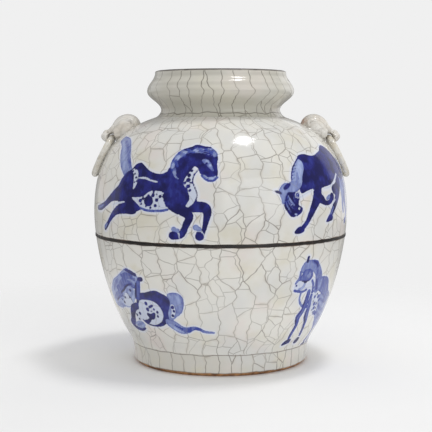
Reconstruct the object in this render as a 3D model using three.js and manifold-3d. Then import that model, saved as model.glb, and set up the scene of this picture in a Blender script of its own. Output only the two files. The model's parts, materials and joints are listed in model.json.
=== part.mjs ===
// A Chinese crackle-glazed jar: two thrown halves joined under a brown belly band, a foot ring,
// a neck with a cup mouth, and a lion mask on each shoulder with a loose clay ring in its mouth.
// Millimetres, +Z up. The origin is the middle of the foot, on the table.
import * as THREE from "three";
import { mergeVertices } from "three/addons/utils/BufferGeometryUtils.js";
import Module from "manifold-3d";

// Foot ring
const FOOT_HEIGHT = 18;
const FOOT_RADIUS = 72.3;
const FOOT_TOP_RADIUS = 73.2;
const FOOT_WALL = 9;
const FOOT_BEVEL = 2.4;
const FOOT_BEVEL_HEIGHT = 3.2;

// Body, from the top of the foot ring to the joint with the neck
const BODY_HEIGHT = 185;
const BELLY_RADIUS = 105.2;
const BELLY_RISE = 106.7;
const BODY_WALL = 6;
const FLOOR_THICKNESS = 7;
const FLOOR_FILLET = 9;

// How full the body's curves are, as shares of the spans that they bridge
const WAIST_OUT = 0.594;
const WAIST_UP = 0.237;
const FLANK_FULL = 0.293;
const SHOULDER_FULL = 0.627;
const SHOULDER_OUT = 0.587;
const SHOULDER_DROP = 0.123;

// Belly band, in a groove that is cut half into each half of the body
const BAND_RISE = 88.5;
const BAND_HEIGHT = 3.4;
const BAND_DEPTH = 1.8;
const BAND_PROUD = 0.4;

// Neck and lip, with heights above the joint with the shoulder
const NECK_BASE_RADIUS = 52.6;
const THROAT_RADIUS = 49.3;
const THROAT_RISE = 5.6;
const CUP_RADIUS = 61;
const CUP_RISE = 21;
const LIP_RADIUS = 54.2;
const NECK_HEIGHT = 36.2;
const NECK_WALL = 5.2;
const LIP_HEIGHT = 1.6;
const LIP_ROUND = 1.1;
const LIP_TOP_WIDTH = 2.1;

// How full the cup's curves are, as shares of the heights that they bridge
const CUP_FULL = 0.4;
const CUP_TUCK = 0.38;

// Loose ring and the mouth that holds it
const RING_RADIUS = 16.8;
const RING_TUBE_RADIUS = 2.6;
const MOUTH_CLEARANCE = 0.7;
const MOUTH_DROP = 20;
const MOUTH_STANDOFF = 4.3;

// The brows stand back from the swinging ring, so their place follows its thickness
const BROW_BACK = RING_TUBE_RADIUS + 3;
const BROW_LIFT = 8 - RING_TUBE_RADIUS;

// Mask, in its own frame: x down the shoulder, y across, z off the shoulder, zero at the mouth.
// Each lump is a centre and three half sizes: skull, snout, muzzle, brows and ears.
const MASK_LUMPS = [
  { centre: [-12.9, 0, -3.4], half: [12.9, 14.5, 13.2] },
  { centre: [-3.5, 0, 2.6], half: [8, 7.8, 5] },
  { centre: [2.6, 0, 3.9], half: [5, 8.1, 4.6] },
  { centre: [-BROW_BACK, 5.6, BROW_LIFT], half: [3.6, 4, 3.4] },
  { centre: [-BROW_BACK, -5.6, BROW_LIFT], half: [3.6, 4, 3.4] },
  { centre: [-17.5, 10.7, 1.4], half: [4.6, 3.9, 4.5] },
  { centre: [-17.5, -10.7, 1.4], half: [4.6, 3.9, 4.5] },
];

// Left between curved faces that are luted together, and under a ring at rest
const CLEARANCE = 0.3;

// How far the ring's sweep is cut out to each side of the mouth, as a share of the ring's radius
const TUNNEL_REACH = 0.8;

// How finely the round shapes are cut into flats
const TURNS = 48;
const CURVE_STEPS = 160;
const TUNNEL_STEPS = 6;
const BODY_CUT_STEPS = 24;
const LUMP_STEPS = [14, 10];
const RING_STEPS = [8, 32];

const SHOULDER_Z = FOOT_HEIGHT + BODY_HEIGHT;
const BELLY_Z = FOOT_HEIGHT + BELLY_RISE;
const BAND_Z = FOOT_HEIGHT + BAND_RISE;
const FLOOR_Z = FOOT_HEIGHT + FLOOR_THICKNESS;
const LIP_Z = SHOULDER_Z + NECK_HEIGHT;
const BORE_RADIUS = THROAT_RADIUS - NECK_WALL;

const GLAZE = { color: 0xd9d4cd, roughness: 0.22, metalness: 0 };
const CUP_GLAZE = { color: 0xcfcbc2, roughness: 0.22, metalness: 0 };
const IRON_BROWN = { color: 0x3a3029, roughness: 0.45, metalness: 0 };

const wasm = await Module();
wasm.setup();

// Points of a cubic curve in the half plane of radius and height, without the last one.
function bend(...corners) {
  const curve = new THREE.CubicBezierCurve(...corners.map((c) => new THREE.Vector2(...c)));
  return curve.getPoints(CURVE_STEPS).slice(0, -1);
}

// The outside of the body, from the foot ring to the neck.
function bodyOutline() {
  const out = BELLY_RADIUS - FOOT_TOP_RADIUS;
  const inward = BELLY_RADIUS - NECK_BASE_RADIUS;
  const rise = SHOULDER_Z - BELLY_Z;
  const waist = [FOOT_TOP_RADIUS + WAIST_OUT * out, FOOT_HEIGHT + WAIST_UP * BELLY_RISE];
  const flank = [BELLY_RADIUS, BELLY_Z - FLANK_FULL * BELLY_RISE];
  const crown = [BELLY_RADIUS, BELLY_Z + SHOULDER_FULL * rise];
  const slope = [NECK_BASE_RADIUS + SHOULDER_OUT * inward, SHOULDER_Z - SHOULDER_DROP * rise];
  return [
    ...bend([FOOT_TOP_RADIUS, FOOT_HEIGHT], waist, flank, [BELLY_RADIUS, BELLY_Z]),
    ...bend([BELLY_RADIUS, BELLY_Z], crown, slope, [NECK_BASE_RADIUS, SHOULDER_Z]),
    new THREE.Vector2(NECK_BASE_RADIUS, SHOULDER_Z),
  ];
}

// The outside of the neck, from the shoulder to the underside of the lip.
function neckOutline() {
  const throatZ = SHOULDER_Z + THROAT_RISE;
  const cupZ = SHOULDER_Z + CUP_RISE;
  const throat = [THROAT_RADIUS, throatZ];
  const cup = [CUP_RADIUS, cupZ];
  const flare = (NECK_BASE_RADIUS - THROAT_RADIUS) / 2;
  const base = [NECK_BASE_RADIUS - flare, SHOULDER_Z + THROAT_RISE / 3];
  const bulge = (cupZ - throatZ) * CUP_FULL;
  const tuck = (LIP_Z - cupZ) * CUP_TUCK;
  return [
    ...bend([NECK_BASE_RADIUS, SHOULDER_Z], base, [THROAT_RADIUS, throatZ - THROAT_RISE / 3], throat),
    ...bend(throat, [THROAT_RADIUS, throatZ + bulge], [CUP_RADIUS, cupZ - bulge], cup),
    ...bend(cup, [CUP_RADIUS, cupZ + tuck], [LIP_RADIUS, LIP_Z - tuck], [LIP_RADIUS, LIP_Z]),
    new THREE.Vector2(LIP_RADIUS, LIP_Z),
  ];
}

// A curve moved sideways: towards the axis and the floor by a positive distance.
function offset(points, distance) {
  return points.map((point, i) => {
    const before = points[Math.max(i - 1, 0)];
    const after = points[Math.min(i + 1, points.length - 1)];
    const along = after.clone().sub(before).normalize();
    return new THREE.Vector2(point.x - along.y * distance, point.y + along.x * distance);
  });
}

// The radius of a rising curve at a height.
function radiusAt(points, height) {
  const next = points.findIndex((p) => p.y >= height);
  if (next < 0) return points[points.length - 1].x;
  if (next === 0) return points[0].x;
  const [a, b] = [points[next - 1], points[next]];
  return a.x + ((b.x - a.x) * (height - a.y)) / (b.y - a.y);
}

// The part of a rising curve between two heights, as evenly spaced points.
function stretch(points, low, high, steps) {
  const kept = [
    new THREE.Vector2(radiusAt(points, low), low),
    ...points.filter((p) => p.y > low && p.y < high),
    new THREE.Vector2(radiusAt(points, high), high),
  ];
  const lengths = [0];
  for (let i = 1; i < kept.length; i++) lengths.push(lengths[i - 1] + kept[i].distanceTo(kept[i - 1]));
  const total = lengths[lengths.length - 1];
  const found = [kept[0]];
  for (let k = 1; k < steps; k++) {
    const at = (total * k) / steps;
    const i = lengths.findIndex((l) => l >= at);
    const share = (at - lengths[i - 1]) / (lengths[i] - lengths[i - 1]);
    found.push(kept[i - 1].clone().lerp(kept[i], share));
  }
  found.push(kept[kept.length - 1]);
  return found;
}

const bodyOutside = bodyOutline();
const bodyInside = offset(bodyOutside, BODY_WALL);
const neckOutside = neckOutline();
const neckInside = offset(neckOutside, NECK_WALL);
const seatRadius = radiusAt(bodyOutside, BAND_Z) - BAND_DEPTH;
const bandBottom = BAND_Z - BAND_HEIGHT / 2;
const bandTop = BAND_Z + BAND_HEIGHT / 2;

const point = (radius, height) => new THREE.Vector2(radius, height);

// A turned piece. Its profile runs up the outside first and closes on itself or on the axis.
function turned(profile) {
  return new THREE.LatheGeometry(profile, TURNS).rotateX(Math.PI / 2);
}

function closed(profile) {
  return [...profile, profile[0].clone()];
}

function footRing() {
  const inner = FOOT_RADIUS - FOOT_WALL;
  return turned(
    closed([
      point(inner + FOOT_BEVEL / 2, 0),
      point(FOOT_RADIUS - FOOT_BEVEL, 0),
      point(FOOT_RADIUS, FOOT_BEVEL_HEIGHT),
      point(FOOT_TOP_RADIUS, FOOT_HEIGHT),
      point(inner, FOOT_HEIGHT),
      point(inner, FOOT_BEVEL_HEIGHT / 2),
    ]),
  );
}

// The lower half, a bowl whose rim carries the lower half of the band's groove.
function lowerBody() {
  const filletTop = FLOOR_Z + FLOOR_FILLET;
  const inside = stretch(bodyInside, filletTop, BAND_Z, 6).reverse();
  const corner = radiusAt(bodyInside, filletTop);
  const fillet = [60, 30, 0].map((degrees) => {
    const turn = THREE.MathUtils.degToRad(degrees);
    const inward = FLOOR_FILLET * (1 - Math.sin(turn));
    return point(corner - inward, FLOOR_Z + FLOOR_FILLET * (1 - Math.cos(turn)));
  });
  return turned([
    point(0, FOOT_HEIGHT),
    ...stretch(bodyOutside, FOOT_HEIGHT, bandBottom, 9),
    point(seatRadius, bandBottom),
    point(seatRadius, BAND_Z),
    ...inside,
    ...fillet,
    point(0, FLOOR_Z),
  ]);
}

// The upper half. The neck's bore is cut straight through its top.
function upperBody() {
  const wide = bodyInside.filter((p) => p.x >= BORE_RADIUS);
  const inside = stretch(wide, BAND_Z, wide[wide.length - 1].y, 8).reverse();
  inside[0].x = BORE_RADIUS;
  return turned(
    closed([
      point(seatRadius, BAND_Z),
      point(seatRadius, bandTop),
      ...stretch(bodyOutside, bandTop, SHOULDER_Z, 12),
      point(BORE_RADIUS, SHOULDER_Z),
      ...inside,
    ]),
  );
}

function bellyBand() {
  const inner = seatRadius + CLEARANCE;
  const outer = radiusAt(bodyOutside, BAND_Z) + BAND_PROUD;
  const edge = BAND_PROUD / 2;
  return turned(
    closed([
      point(inner, bandBottom),
      point(outer - edge, bandBottom),
      point(outer, BAND_Z),
      point(outer - edge, bandTop),
      point(inner, bandTop),
    ]),
  );
}

function neck() {
  const inside = stretch(neckInside, neckInside[0].y, LIP_Z, 9).reverse();
  inside[0] = point(LIP_RADIUS - NECK_WALL, LIP_Z);
  inside[inside.length - 1] = point(BORE_RADIUS, SHOULDER_Z);
  return turned(closed([...stretch(neckOutside, SHOULDER_Z, LIP_Z, 14), ...inside]));
}

// The dressing on the rim, rounded over on both sides.
function lipEdge() {
  const inner = LIP_RADIUS - NECK_WALL;
  const top = LIP_Z + LIP_HEIGHT;
  const middle = LIP_RADIUS - NECK_WALL / 2;
  const halfTop = LIP_TOP_WIDTH / 2;
  return turned(
    closed([
      point(inner, LIP_Z),
      point(LIP_RADIUS, LIP_Z),
      point(LIP_RADIUS, top - LIP_ROUND),
      point(LIP_RADIUS - LIP_ROUND / 2, top - LIP_ROUND / 4),
      point(middle + halfTop, top),
      point(middle - halfTop, top),
      point(inner + LIP_ROUND / 2, top - LIP_ROUND / 4),
      point(inner, top - LIP_ROUND),
    ]),
  );
}

// A closed geometry as a solid that can be joined and cut.
function solid(geometry) {
  const bare = geometry.clone();
  bare.deleteAttribute("normal");
  bare.deleteAttribute("uv");
  const merged = mergeVertices(bare, 1e-4);
  const mesh = new wasm.Mesh({
    numProp: 3,
    vertProperties: merged.attributes.position.array,
    triVerts: new Uint32Array(merged.index.array),
  });
  return new wasm.Manifold(mesh);
}

function geometryOf(made) {
  const mesh = made.getMesh();
  const geometry = new THREE.BufferGeometry();
  geometry.setAttribute("position", new THREE.BufferAttribute(new Float32Array(mesh.vertProperties), 3));
  geometry.setIndex(new THREE.BufferAttribute(new Uint32Array(mesh.triVerts), 1));
  geometry.computeVertexNormals();
  return geometry;
}

// The mouth's place: a point off the shoulder, and how far the shoulder tilts there.
function mouthFrame() {
  const level = SHOULDER_Z - MOUTH_DROP;
  const lower = point(radiusAt(bodyOutside, level - 1), level - 1);
  const upper = point(radiusAt(bodyOutside, level + 1), level + 1);
  const down = lower.clone().sub(upper).normalize();
  const tilt = Math.atan2(-down.y, down.x);
  const x = radiusAt(bodyOutside, level) + Math.sin(tilt) * MOUTH_STANDOFF;
  const z = level + Math.cos(tilt) * MOUTH_STANDOFF;
  return { x, z, tilt };
}

const mouth = mouthFrame();
const mouthMatrix = new THREE.Matrix4()
  .makeRotationY(mouth.tilt)
  .setPosition(mouth.x, 0, mouth.z);

// The distance from a place to the outside of the body.
function distanceToBody(x, y, z) {
  const place = point(Math.hypot(x, y), z);
  return bodyOutside.reduce((least, p) => Math.min(least, p.distanceTo(place)), Infinity);
}

// The ring's lean from the plumb line when it rests on the shoulder, found by halving.
function restingLean() {
  const clear = (lean) => {
    for (let turn = 0; turn <= 180; turn += 5) {
      const a = THREE.MathUtils.degToRad(turn);
      const reach = RING_RADIUS * (1 - Math.cos(a));
      const x = mouth.x + reach * Math.sin(lean);
      const z = mouth.z - reach * Math.cos(lean);
      const gap = distanceToBody(x, RING_RADIUS * Math.sin(a), z);
      if (gap < RING_TUBE_RADIUS + CLEARANCE) return false;
    }
    return true;
  };
  let resting = THREE.MathUtils.degToRad(5);
  let lifted = THREE.MathUtils.degToRad(85);
  for (let i = 0; i < 24; i++) {
    const middle = (resting + lifted) / 2;
    if (clear(middle)) lifted = middle;
    else resting = middle;
  }
  return lifted;
}

// The space that the ring's tube sweeps as it swings, waisted at the middle of the mouth.
function mouthTunnel() {
  const reach = RING_RADIUS * TUNNEL_REACH;
  const profile = [point(0, -reach)];
  for (let k = -TUNNEL_STEPS; k <= TUNNEL_STEPS; k++) {
    const y = (reach * k) / TUNNEL_STEPS;
    const sag = RING_RADIUS - Math.sqrt(RING_RADIUS ** 2 - y ** 2);
    profile.push(point(sag + RING_TUBE_RADIUS + MOUTH_CLEARANCE, y));
  }
  profile.push(point(0, reach));
  return solid(new THREE.LatheGeometry(profile, 24));
}

// The body grown by the clearance, to cut what is luted to it.
function bodyCutter() {
  const grown = stretch(offset(bodyOutside, -CLEARANCE), BAND_Z, SHOULDER_Z, BODY_CUT_STEPS);
  return solid(turned([point(0, BAND_Z), ...grown, point(0, SHOULDER_Z)]));
}

function lump({ centre, half }) {
  const geometry = new THREE.SphereGeometry(1, ...LUMP_STEPS);
  return solid(geometry.scale(...half).translate(...centre));
}

const cutter = bodyCutter().transform(mouthMatrix.clone().invert().toArray());
const tunnel = mouthTunnel();

function mask() {
  const head = MASK_LUMPS.map(lump).reduce((whole, next) => whole.add(next));
  return head.subtract(tunnel).subtract(cutter);
}

const maskGeometry = geometryOf(mask());
const ringGeometry = new THREE.TorusGeometry(RING_RADIUS, RING_TUBE_RADIUS, ...RING_STEPS)
  .rotateY(Math.PI / 2)
  .translate(0, 0, -RING_RADIUS);

function named(name, geometry, material) {
  const mesh = new THREE.Mesh(geometry, new THREE.MeshStandardMaterial(material));
  mesh.name = name;
  return mesh;
}

// One handle, as it sits on the +X shoulder.
function handle(side) {
  const group = new THREE.Group();
  const head = new THREE.Group();
  head.position.set(mouth.x, 0, mouth.z);
  head.rotation.y = mouth.tilt;
  head.add(named(`${side}_mask`, maskGeometry, GLAZE));
  const ring = named(`${side}_ring`, ringGeometry, GLAZE);
  ring.position.set(mouth.x, 0, mouth.z);
  ring.rotation.y = -restingLean();
  group.add(head, ring);
  return group;
}

const jar = new THREE.Group();
jar.add(named("foot_ring", footRing(), GLAZE));
jar.add(named("lower_body", lowerBody(), GLAZE));
jar.add(named("belly_band", bellyBand(), IRON_BROWN));
jar.add(named("upper_body", upperBody(), GLAZE));
jar.add(named("neck", neck(), CUP_GLAZE));
jar.add(named("lip_edge", lipEdge(), IRON_BROWN));
jar.add(handle("right"));
const leftHandle = handle("left");
leftHandle.rotation.z = Math.PI;
jar.add(leftHandle);

export default jar;
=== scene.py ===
import json
import math

import bmesh
import bpy
import numpy as np
from mathutils import Matrix, Vector, noise


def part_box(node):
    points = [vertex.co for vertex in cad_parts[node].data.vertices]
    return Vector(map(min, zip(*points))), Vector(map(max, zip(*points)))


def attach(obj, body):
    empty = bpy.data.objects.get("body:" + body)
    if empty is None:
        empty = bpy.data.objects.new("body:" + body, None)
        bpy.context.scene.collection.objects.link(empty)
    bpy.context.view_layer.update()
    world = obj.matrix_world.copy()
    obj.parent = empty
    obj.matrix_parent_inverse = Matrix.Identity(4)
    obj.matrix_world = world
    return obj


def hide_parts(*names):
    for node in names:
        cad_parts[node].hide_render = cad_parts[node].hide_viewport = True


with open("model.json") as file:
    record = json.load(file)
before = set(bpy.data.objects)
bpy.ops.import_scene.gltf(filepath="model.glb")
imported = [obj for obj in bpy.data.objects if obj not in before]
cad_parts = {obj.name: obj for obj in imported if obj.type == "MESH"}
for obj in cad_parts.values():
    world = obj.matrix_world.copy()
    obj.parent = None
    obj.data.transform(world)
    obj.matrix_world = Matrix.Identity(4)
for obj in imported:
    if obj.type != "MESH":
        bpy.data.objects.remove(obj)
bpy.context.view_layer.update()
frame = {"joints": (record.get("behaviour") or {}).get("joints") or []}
MM = 0.001

# The lower half of the body
# A thick-walled bowl of pale stoneware, thrown on the wheel and then joined rim to rim with the
# upper half. The outside line of the whole jar is drawn here, as all its turned pieces follow it.
FOOT_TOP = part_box("foot_ring")[1].z / MM
FOOT_TOP_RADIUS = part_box("foot_ring")[1].x / MM
FOOT_RADIUS = FOOT_TOP_RADIUS - 0.9
FOOT_BEVEL = 2.4
FOOT_BEVEL_HEIGHT = 3.2
SEAM_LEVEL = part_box("lower_body")[1].z / MM
SHOULDER_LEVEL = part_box("upper_body")[1].z / MM
BELLY_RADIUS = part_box("upper_body")[1].x / MM
BELLY_LEVEL = 124.7
CUP_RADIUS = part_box("neck")[1].x / MM
LIP_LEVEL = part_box("neck")[1].z / MM
LIP_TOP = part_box("lip_edge")[1].z / MM
LIP_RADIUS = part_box("lip_edge")[1].x / MM
NECK_BASE_RADIUS = 52.6
THROAT_RADIUS = 49.3
THROAT_RISE = 5.6
CUP_RISE = 21
BODY_WALL = 6
NECK_WALL = 5.2
BORE_RADIUS = THROAT_RADIUS - NECK_WALL
FLOOR_LEVEL = 25
FLOOR_FILLET = 9
ROUNDED_FOOT = 9
ROUNDED_NECK = 2.2
# How far the curves of the outline lean on from their ends, as shares of the way across and up
FOOT_LEAN = (0.594, 0.237)
BELLY_LEAN = (0.293, 0.627)
SHOULDER_LEAN = (0.587, 0.123)
CUP_LEAN = 0.4
LIP_LEAN = 0.38
CURVE_STEPS = 160
FOOT_STEPS = 12


def curve(a, b, c, d):
    """A soft curve from a to d that leaves towards b and arrives from c, without its last point."""
    t = np.linspace(0, 1, CURVE_STEPS, endpoint=False)[:, None]
    a, b, c, d = (np.array(p, float) for p in (a, b, c, d))
    return (1 - t) ** 3 * a + 3 * (1 - t) ** 2 * t * b + 3 * (1 - t) * t * t * c + t**3 * d


def run_of(line):
    """How far each point of a line is along it."""
    return np.concatenate([[0], np.cumsum(np.hypot(*np.diff(line, axis=0).T))])


def points_at(line, run, places):
    """The points of a line that are so far along it."""
    return np.stack([np.interp(places, run, column) for column in line.T], axis=-1)


def softened(line, level, reach):
    """The line with its corner at a level rounded, as clay slip and glaze fill the angle."""
    run = run_of(line)
    middle = np.interp(level, line[:, 1], run)
    low, corner, high = points_at(line, run, [middle - reach, middle, middle + reach])
    bend = curve(low, (low + 2 * corner) / 3, (high + 2 * corner) / 3, high)
    return np.vstack([line[run < middle - reach], bend, line[run > middle + reach]])


def stretch(line, low, high, step):
    """Points at even steps along a line, from one level up to another."""
    run = run_of(line)
    first, last = np.interp([low, high], line[:, 1], run)
    places = np.linspace(first, last, max(2, round((last - first) / step) + 1))
    return points_at(line, run, places)


def inside(line, wall):
    """The line moved inwards by the wall's thickness."""
    along = np.gradient(line, axis=0)
    outward = np.stack([along[:, 1], -along[:, 0]], axis=1) / np.hypot(*along.T)[:, None]
    return line - outward * wall


def shifted(point, across, up):
    return (point[0] + across, point[1] + up)


def arc(start, end, count):
    """The cosines and sines of even turns from one angle to another, which are given in degrees."""
    turns = np.radians(np.linspace(start, end, count))
    return np.cos(turns), np.sin(turns)


def outside_line():
    """The jar's outside from the foot to the lip, as radii and heights."""
    flare = BELLY_RADIUS - FOOT_TOP_RADIUS
    rise = BELLY_LEVEL - FOOT_TOP
    shoulder = BELLY_RADIUS - NECK_BASE_RADIUS
    shoulder_rise = SHOULDER_LEVEL - BELLY_LEVEL
    foot = (FOOT_TOP_RADIUS, FOOT_TOP)
    belly = (BELLY_RADIUS, BELLY_LEVEL)
    neck_base = (NECK_BASE_RADIUS, SHOULDER_LEVEL)
    throat = (THROAT_RADIUS, SHOULDER_LEVEL + THROAT_RISE)
    cup = (CUP_RADIUS, SHOULDER_LEVEL + CUP_RISE)
    lip = (LIP_RADIUS, LIP_LEVEL)
    bulge = CUP_LEAN * (cup[1] - throat[1])
    tuck = LIP_LEAN * (lip[1] - cup[1])
    line = np.vstack([
        np.linspace((FOOT_RADIUS, FOOT_BEVEL_HEIGHT), foot, FOOT_STEPS)[:-1],
        curve(
            foot,
            shifted(foot, FOOT_LEAN[0] * flare, FOOT_LEAN[1] * rise),
            shifted(belly, 0, -BELLY_LEAN[0] * rise),
            belly,
        ),
        curve(
            belly,
            shifted(belly, 0, BELLY_LEAN[1] * shoulder_rise),
            shifted(neck_base, SHOULDER_LEAN[0] * shoulder, -SHOULDER_LEAN[1] * shoulder_rise),
            neck_base,
        ),
        curve(
            neck_base,
            shifted(neck_base, (THROAT_RADIUS - NECK_BASE_RADIUS) / 2, THROAT_RISE / 3),
            shifted(throat, 0, -THROAT_RISE / 3),
            throat,
        ),
        curve(throat, shifted(throat, 0, bulge), shifted(cup, 0, -bulge), cup),
        curve(cup, shifted(cup, 0, tuck), shifted(lip, 0, -tuck), lip),
        [lip],
    ])
    return softened(softened(line, FOOT_TOP, ROUNDED_FOOT), SHOULDER_LEVEL, ROUNDED_NECK)


OUTSIDE = outside_line()
INSIDE = inside(OUTSIDE, BODY_WALL)
FACE_STEP = 0.93
INNER_STEP = 8
SECTORS = 24
WELD = 0.01 * MM
SHARP_ABOVE = math.radians(35)


def radius_at(level):
    return np.interp(level, OUTSIDE[:, 1], OUTSIDE[:, 0])


def rise_at(level):
    """How far up the wall a level is, measured over the outside from the seam of the halves."""
    run = run_of(OUTSIDE)
    return np.interp(level, OUTSIDE[:, 1], run) - np.interp(SEAM_LEVEL, OUTSIDE[:, 1], run)


def mesh_object(name, shape):
    """A smooth-shaded object made of a bmesh, with its corners kept crisp."""
    bmesh.ops.recalc_face_normals(shape, faces=shape.faces)
    mesh = bpy.data.meshes.new(name)
    shape.to_mesh(mesh)
    shape.free()
    mesh.shade_smooth()
    mesh.set_sharp_from_angle(angle=SHARP_ABOVE)
    piece = bpy.data.objects.new(name, mesh)
    bpy.context.scene.collection.objects.link(piece)
    return piece


def turned(name, outline, facets):
    """A piece thrown on the wheel: its outline of radii and heights spun round the jar's axis."""
    shape = bmesh.new()
    points = [shape.verts.new((0, radius * MM, level * MM)) for radius, level in outline]
    pairs = list(zip(points, points[1:]))
    if outline[0][0] > 0:
        pairs.append((points[-1], points[0]))
    edges = [shape.edges.new(pair) for pair in pairs]
    sector = math.tau / SECTORS
    wheel = {"cent": (0, 0, 0), "axis": (0, 0, 1), "dvec": (0, 0, 0), "use_merge": False}
    bmesh.ops.spin(
        shape, geom=points + edges, angle=sector, steps=facets // SECTORS,
        use_duplicate=False, **wheel
    )
    bmesh.ops.spin(
        shape, geom=shape.verts[:] + shape.edges[:] + shape.faces[:], angle=math.tau - sector,
        steps=SECTORS - 1, use_duplicate=True, **wheel
    )
    bmesh.ops.remove_doubles(shape, verts=shape.verts, dist=WELD)
    return mesh_object(name, shape)


def read_points(piece, what):
    """The places or the normals of a piece's points, as its mesh holds them."""
    flat = np.empty(len(piece.data.vertices) * 3, np.float32)
    piece.data.vertices.foreach_get(what, flat)
    return flat.reshape(-1, 3).astype(float)


def places_of(piece):
    """The piece's points, in millimetres."""
    return read_points(piece, "co") / MM


def measured(piece, name, values):
    """Keeps one number for each point of a piece, for its finish to read."""
    layer = piece.data.attributes.new(name, "FLOAT", "POINT")
    layer.data.foreach_set("value", np.asarray(values, np.float32))


def settled(piece, finish, body, slot, *nodes):
    """Gives a piece its finish, and its place on the body that it moves with."""
    piece.data.materials.append(finish)
    if nodes:
        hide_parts(*nodes)
    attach(piece, body)


def wall_piece(name, outline, facets, finish, slot, node):
    """A turned piece of the wall. It keeps how far up the wall its points are, for its finish."""
    piece = turned(name, outline, facets)
    measured(piece, "rise", rise_at(places_of(piece)[:, 2]))
    settled(piece, finish, "jar", slot, node)
    return piece


class Wire:
    """One value in a finish. Arithmetic on it adds the nodes that work it out."""

    def __init__(self, recipe, socket):
        self.recipe = recipe
        self.socket = socket

    def __add__(self, other):
        return self.recipe.math("ADD", self, other)

    def __sub__(self, other):
        return self.recipe.math("SUBTRACT", self, other)

    def __rsub__(self, other):
        return self.recipe.math("SUBTRACT", other, self)

    def __mul__(self, other):
        return self.recipe.math("MULTIPLY", self, other)

    def __abs__(self):
        return self.recipe.math("ABSOLUTE", self)

    def least(self, other):
        return self.recipe.math("MINIMUM", self, other)

    def most(self, other):
        return self.recipe.math("MAXIMUM", self, other)

    def between(self, low, high, start=0.0, end=1.0):
        """Eases from start to end as the value goes from low to high."""
        values = {0: self, 1: low, 2: high, 3: start, 4: end}
        return self.recipe.node("ShaderNodeMapRange", {"interpolation_type": "SMOOTHSTEP"}, values)


class Recipe:
    """The nodes of one finish, or of the sky."""

    def __init__(self, name, kinds=bpy.data.materials):
        self.result = kinds.new(name)
        self.result.use_nodes = True
        self.tree = self.result.node_tree
        self.tree.nodes.clear()

    def node(self, kind, settings=None, values=None, out=0):
        made = self.tree.nodes.new(kind)
        for key, value in (settings or {}).items():
            setattr(made, key, value)
        for key, value in (values or {}).items():
            if isinstance(value, Wire):
                self.tree.links.new(value.socket, made.inputs[key])
            else:
                made.inputs[key].default_value = value
        return Wire(self, made.outputs[out]) if made.outputs else None

    def math(self, operation, *inputs):
        return self.node("ShaderNodeMath", {"operation": operation}, dict(enumerate(inputs)))

    def blend(self, share, first, second):
        """A colour laid over another, by a share from 0 to 1."""
        values = {0: share, 6: first, 7: second}
        return self.node("ShaderNodeMix", {"data_type": "RGBA"}, values, out=2)

    def coats(self, colour, *coats):
        """A colour with others laid over it in turn, each given as its share and its colour."""
        for share, coat in coats:
            colour = self.blend(share, colour, coat)
        return colour

    def vector(self, operation, *inputs):
        out = 1 if operation in ("DOT_PRODUCT", "LENGTH") else 0
        values = dict(enumerate(inputs))
        return self.node("ShaderNodeVectorMath", {"operation": operation}, values, out)

    def pair(self, first, second):
        return self.node("ShaderNodeCombineXYZ", {}, {0: first, 1: second})

    def kept(self, name):
        """A number that the piece keeps for each of its points."""
        return self.node("ShaderNodeAttribute", {"attribute_name": name}, out="Fac")

    def place(self):
        """Where on the piece, in millimetres."""
        return self.vector("MULTIPLY", self.node("ShaderNodeTexCoord", out="Object"), (1 / MM,) * 3)

    def axis(self, place, number):
        return self.node("ShaderNodeSeparateXYZ", {}, {0: place}, out=number)

    def cloud(self, place, size, detail=2.0, out=0):
        """Soft patches of about a size, from 0 to 1."""
        values = {"Vector": place, "Scale": 1 / size, "Detail": detail}
        return self.node("ShaderNodeTexNoise", {}, values, out=out)

    def ripple(self, place, size, height, detail=2.0):
        """Soft swells of about a size, half of the height up and half of it down."""
        return (self.cloud(place, size, detail) - 0.5) * height

    def cells(self, place, feature, out, dimensions="2D", size=1.0, loose=1.0):
        settings = {"voronoi_dimensions": dimensions, "feature": feature}
        values = {"Vector": place, "Scale": 1 / size, "Randomness": loose}
        return self.node("ShaderNodeTexVoronoi", settings, values, out=out)

    def finish(self, colour, roughness, relief):
        """Ends the recipe. The relief is in millimetres."""
        bump = self.node("ShaderNodeBump", {}, {"Strength": 1.0, "Distance": MM, "Height": relief})
        values = {"Base Color": colour, "Roughness": roughness, "Normal": bump}
        shader = self.node("ShaderNodeBsdfPrincipled", {}, values)
        self.node("ShaderNodeOutputMaterial", {}, {"Surface": shader})
        return self.result


def shade(red, green, blue):
    """A colour given as it shows on a screen, from 0 to 255."""
    return tuple(((c / 255 + 0.055) / 1.055) ** 2.4 for c in (red, green, blue)) + (1.0,)


GLAZE = shade(222, 220, 213)
GLAZE_PINK = shade(222, 211, 205)
GLAZE_STRAW = shade(212, 207, 188)
GLAZE_GREY = shade(208, 209, 208)
CRACK = shade(128, 122, 114)
CRACK_STAIN = shade(186, 174, 158)
HALO = shade(215, 218, 229)
RESERVE = shade(198, 205, 223)
COBALT_DEEP = shade(24, 24, 82)
COBALT = shade(36, 38, 118)
COBALT_BRIGHT = shade(58, 74, 160)
WASH_PALE = shade(166, 180, 218)
WASH_STRONG = shade(54, 68, 150)
# The net of cracks: how uneven its cells are, how its lines sway round the jar as they climb, how
# they drift, how wide and tall the later cells are against the first, and where the later net is
# taken from, far enough off to be another one
CRACK_LOOSENESS = 0.74
CRACK_SWAY_SIZE = 17
CRACK_SWAY = 16
CRACK_DRIFT_SIZE = 13
CRACK_DRIFT = (3, 3, 0)
LATER_CELLS = (1.2, 0.55)
OTHER_NET = (900, 900, 0)
# How near a crack its line and its stain begin and end, and how strong they are there
FIRST_CRACK = (0.05, 0.58, 0.9, 0)
LATER_CRACK = (0.02, 0.5, 0.7, 0)
STAIN = (0.3, 2.6, 1, 0)
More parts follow.
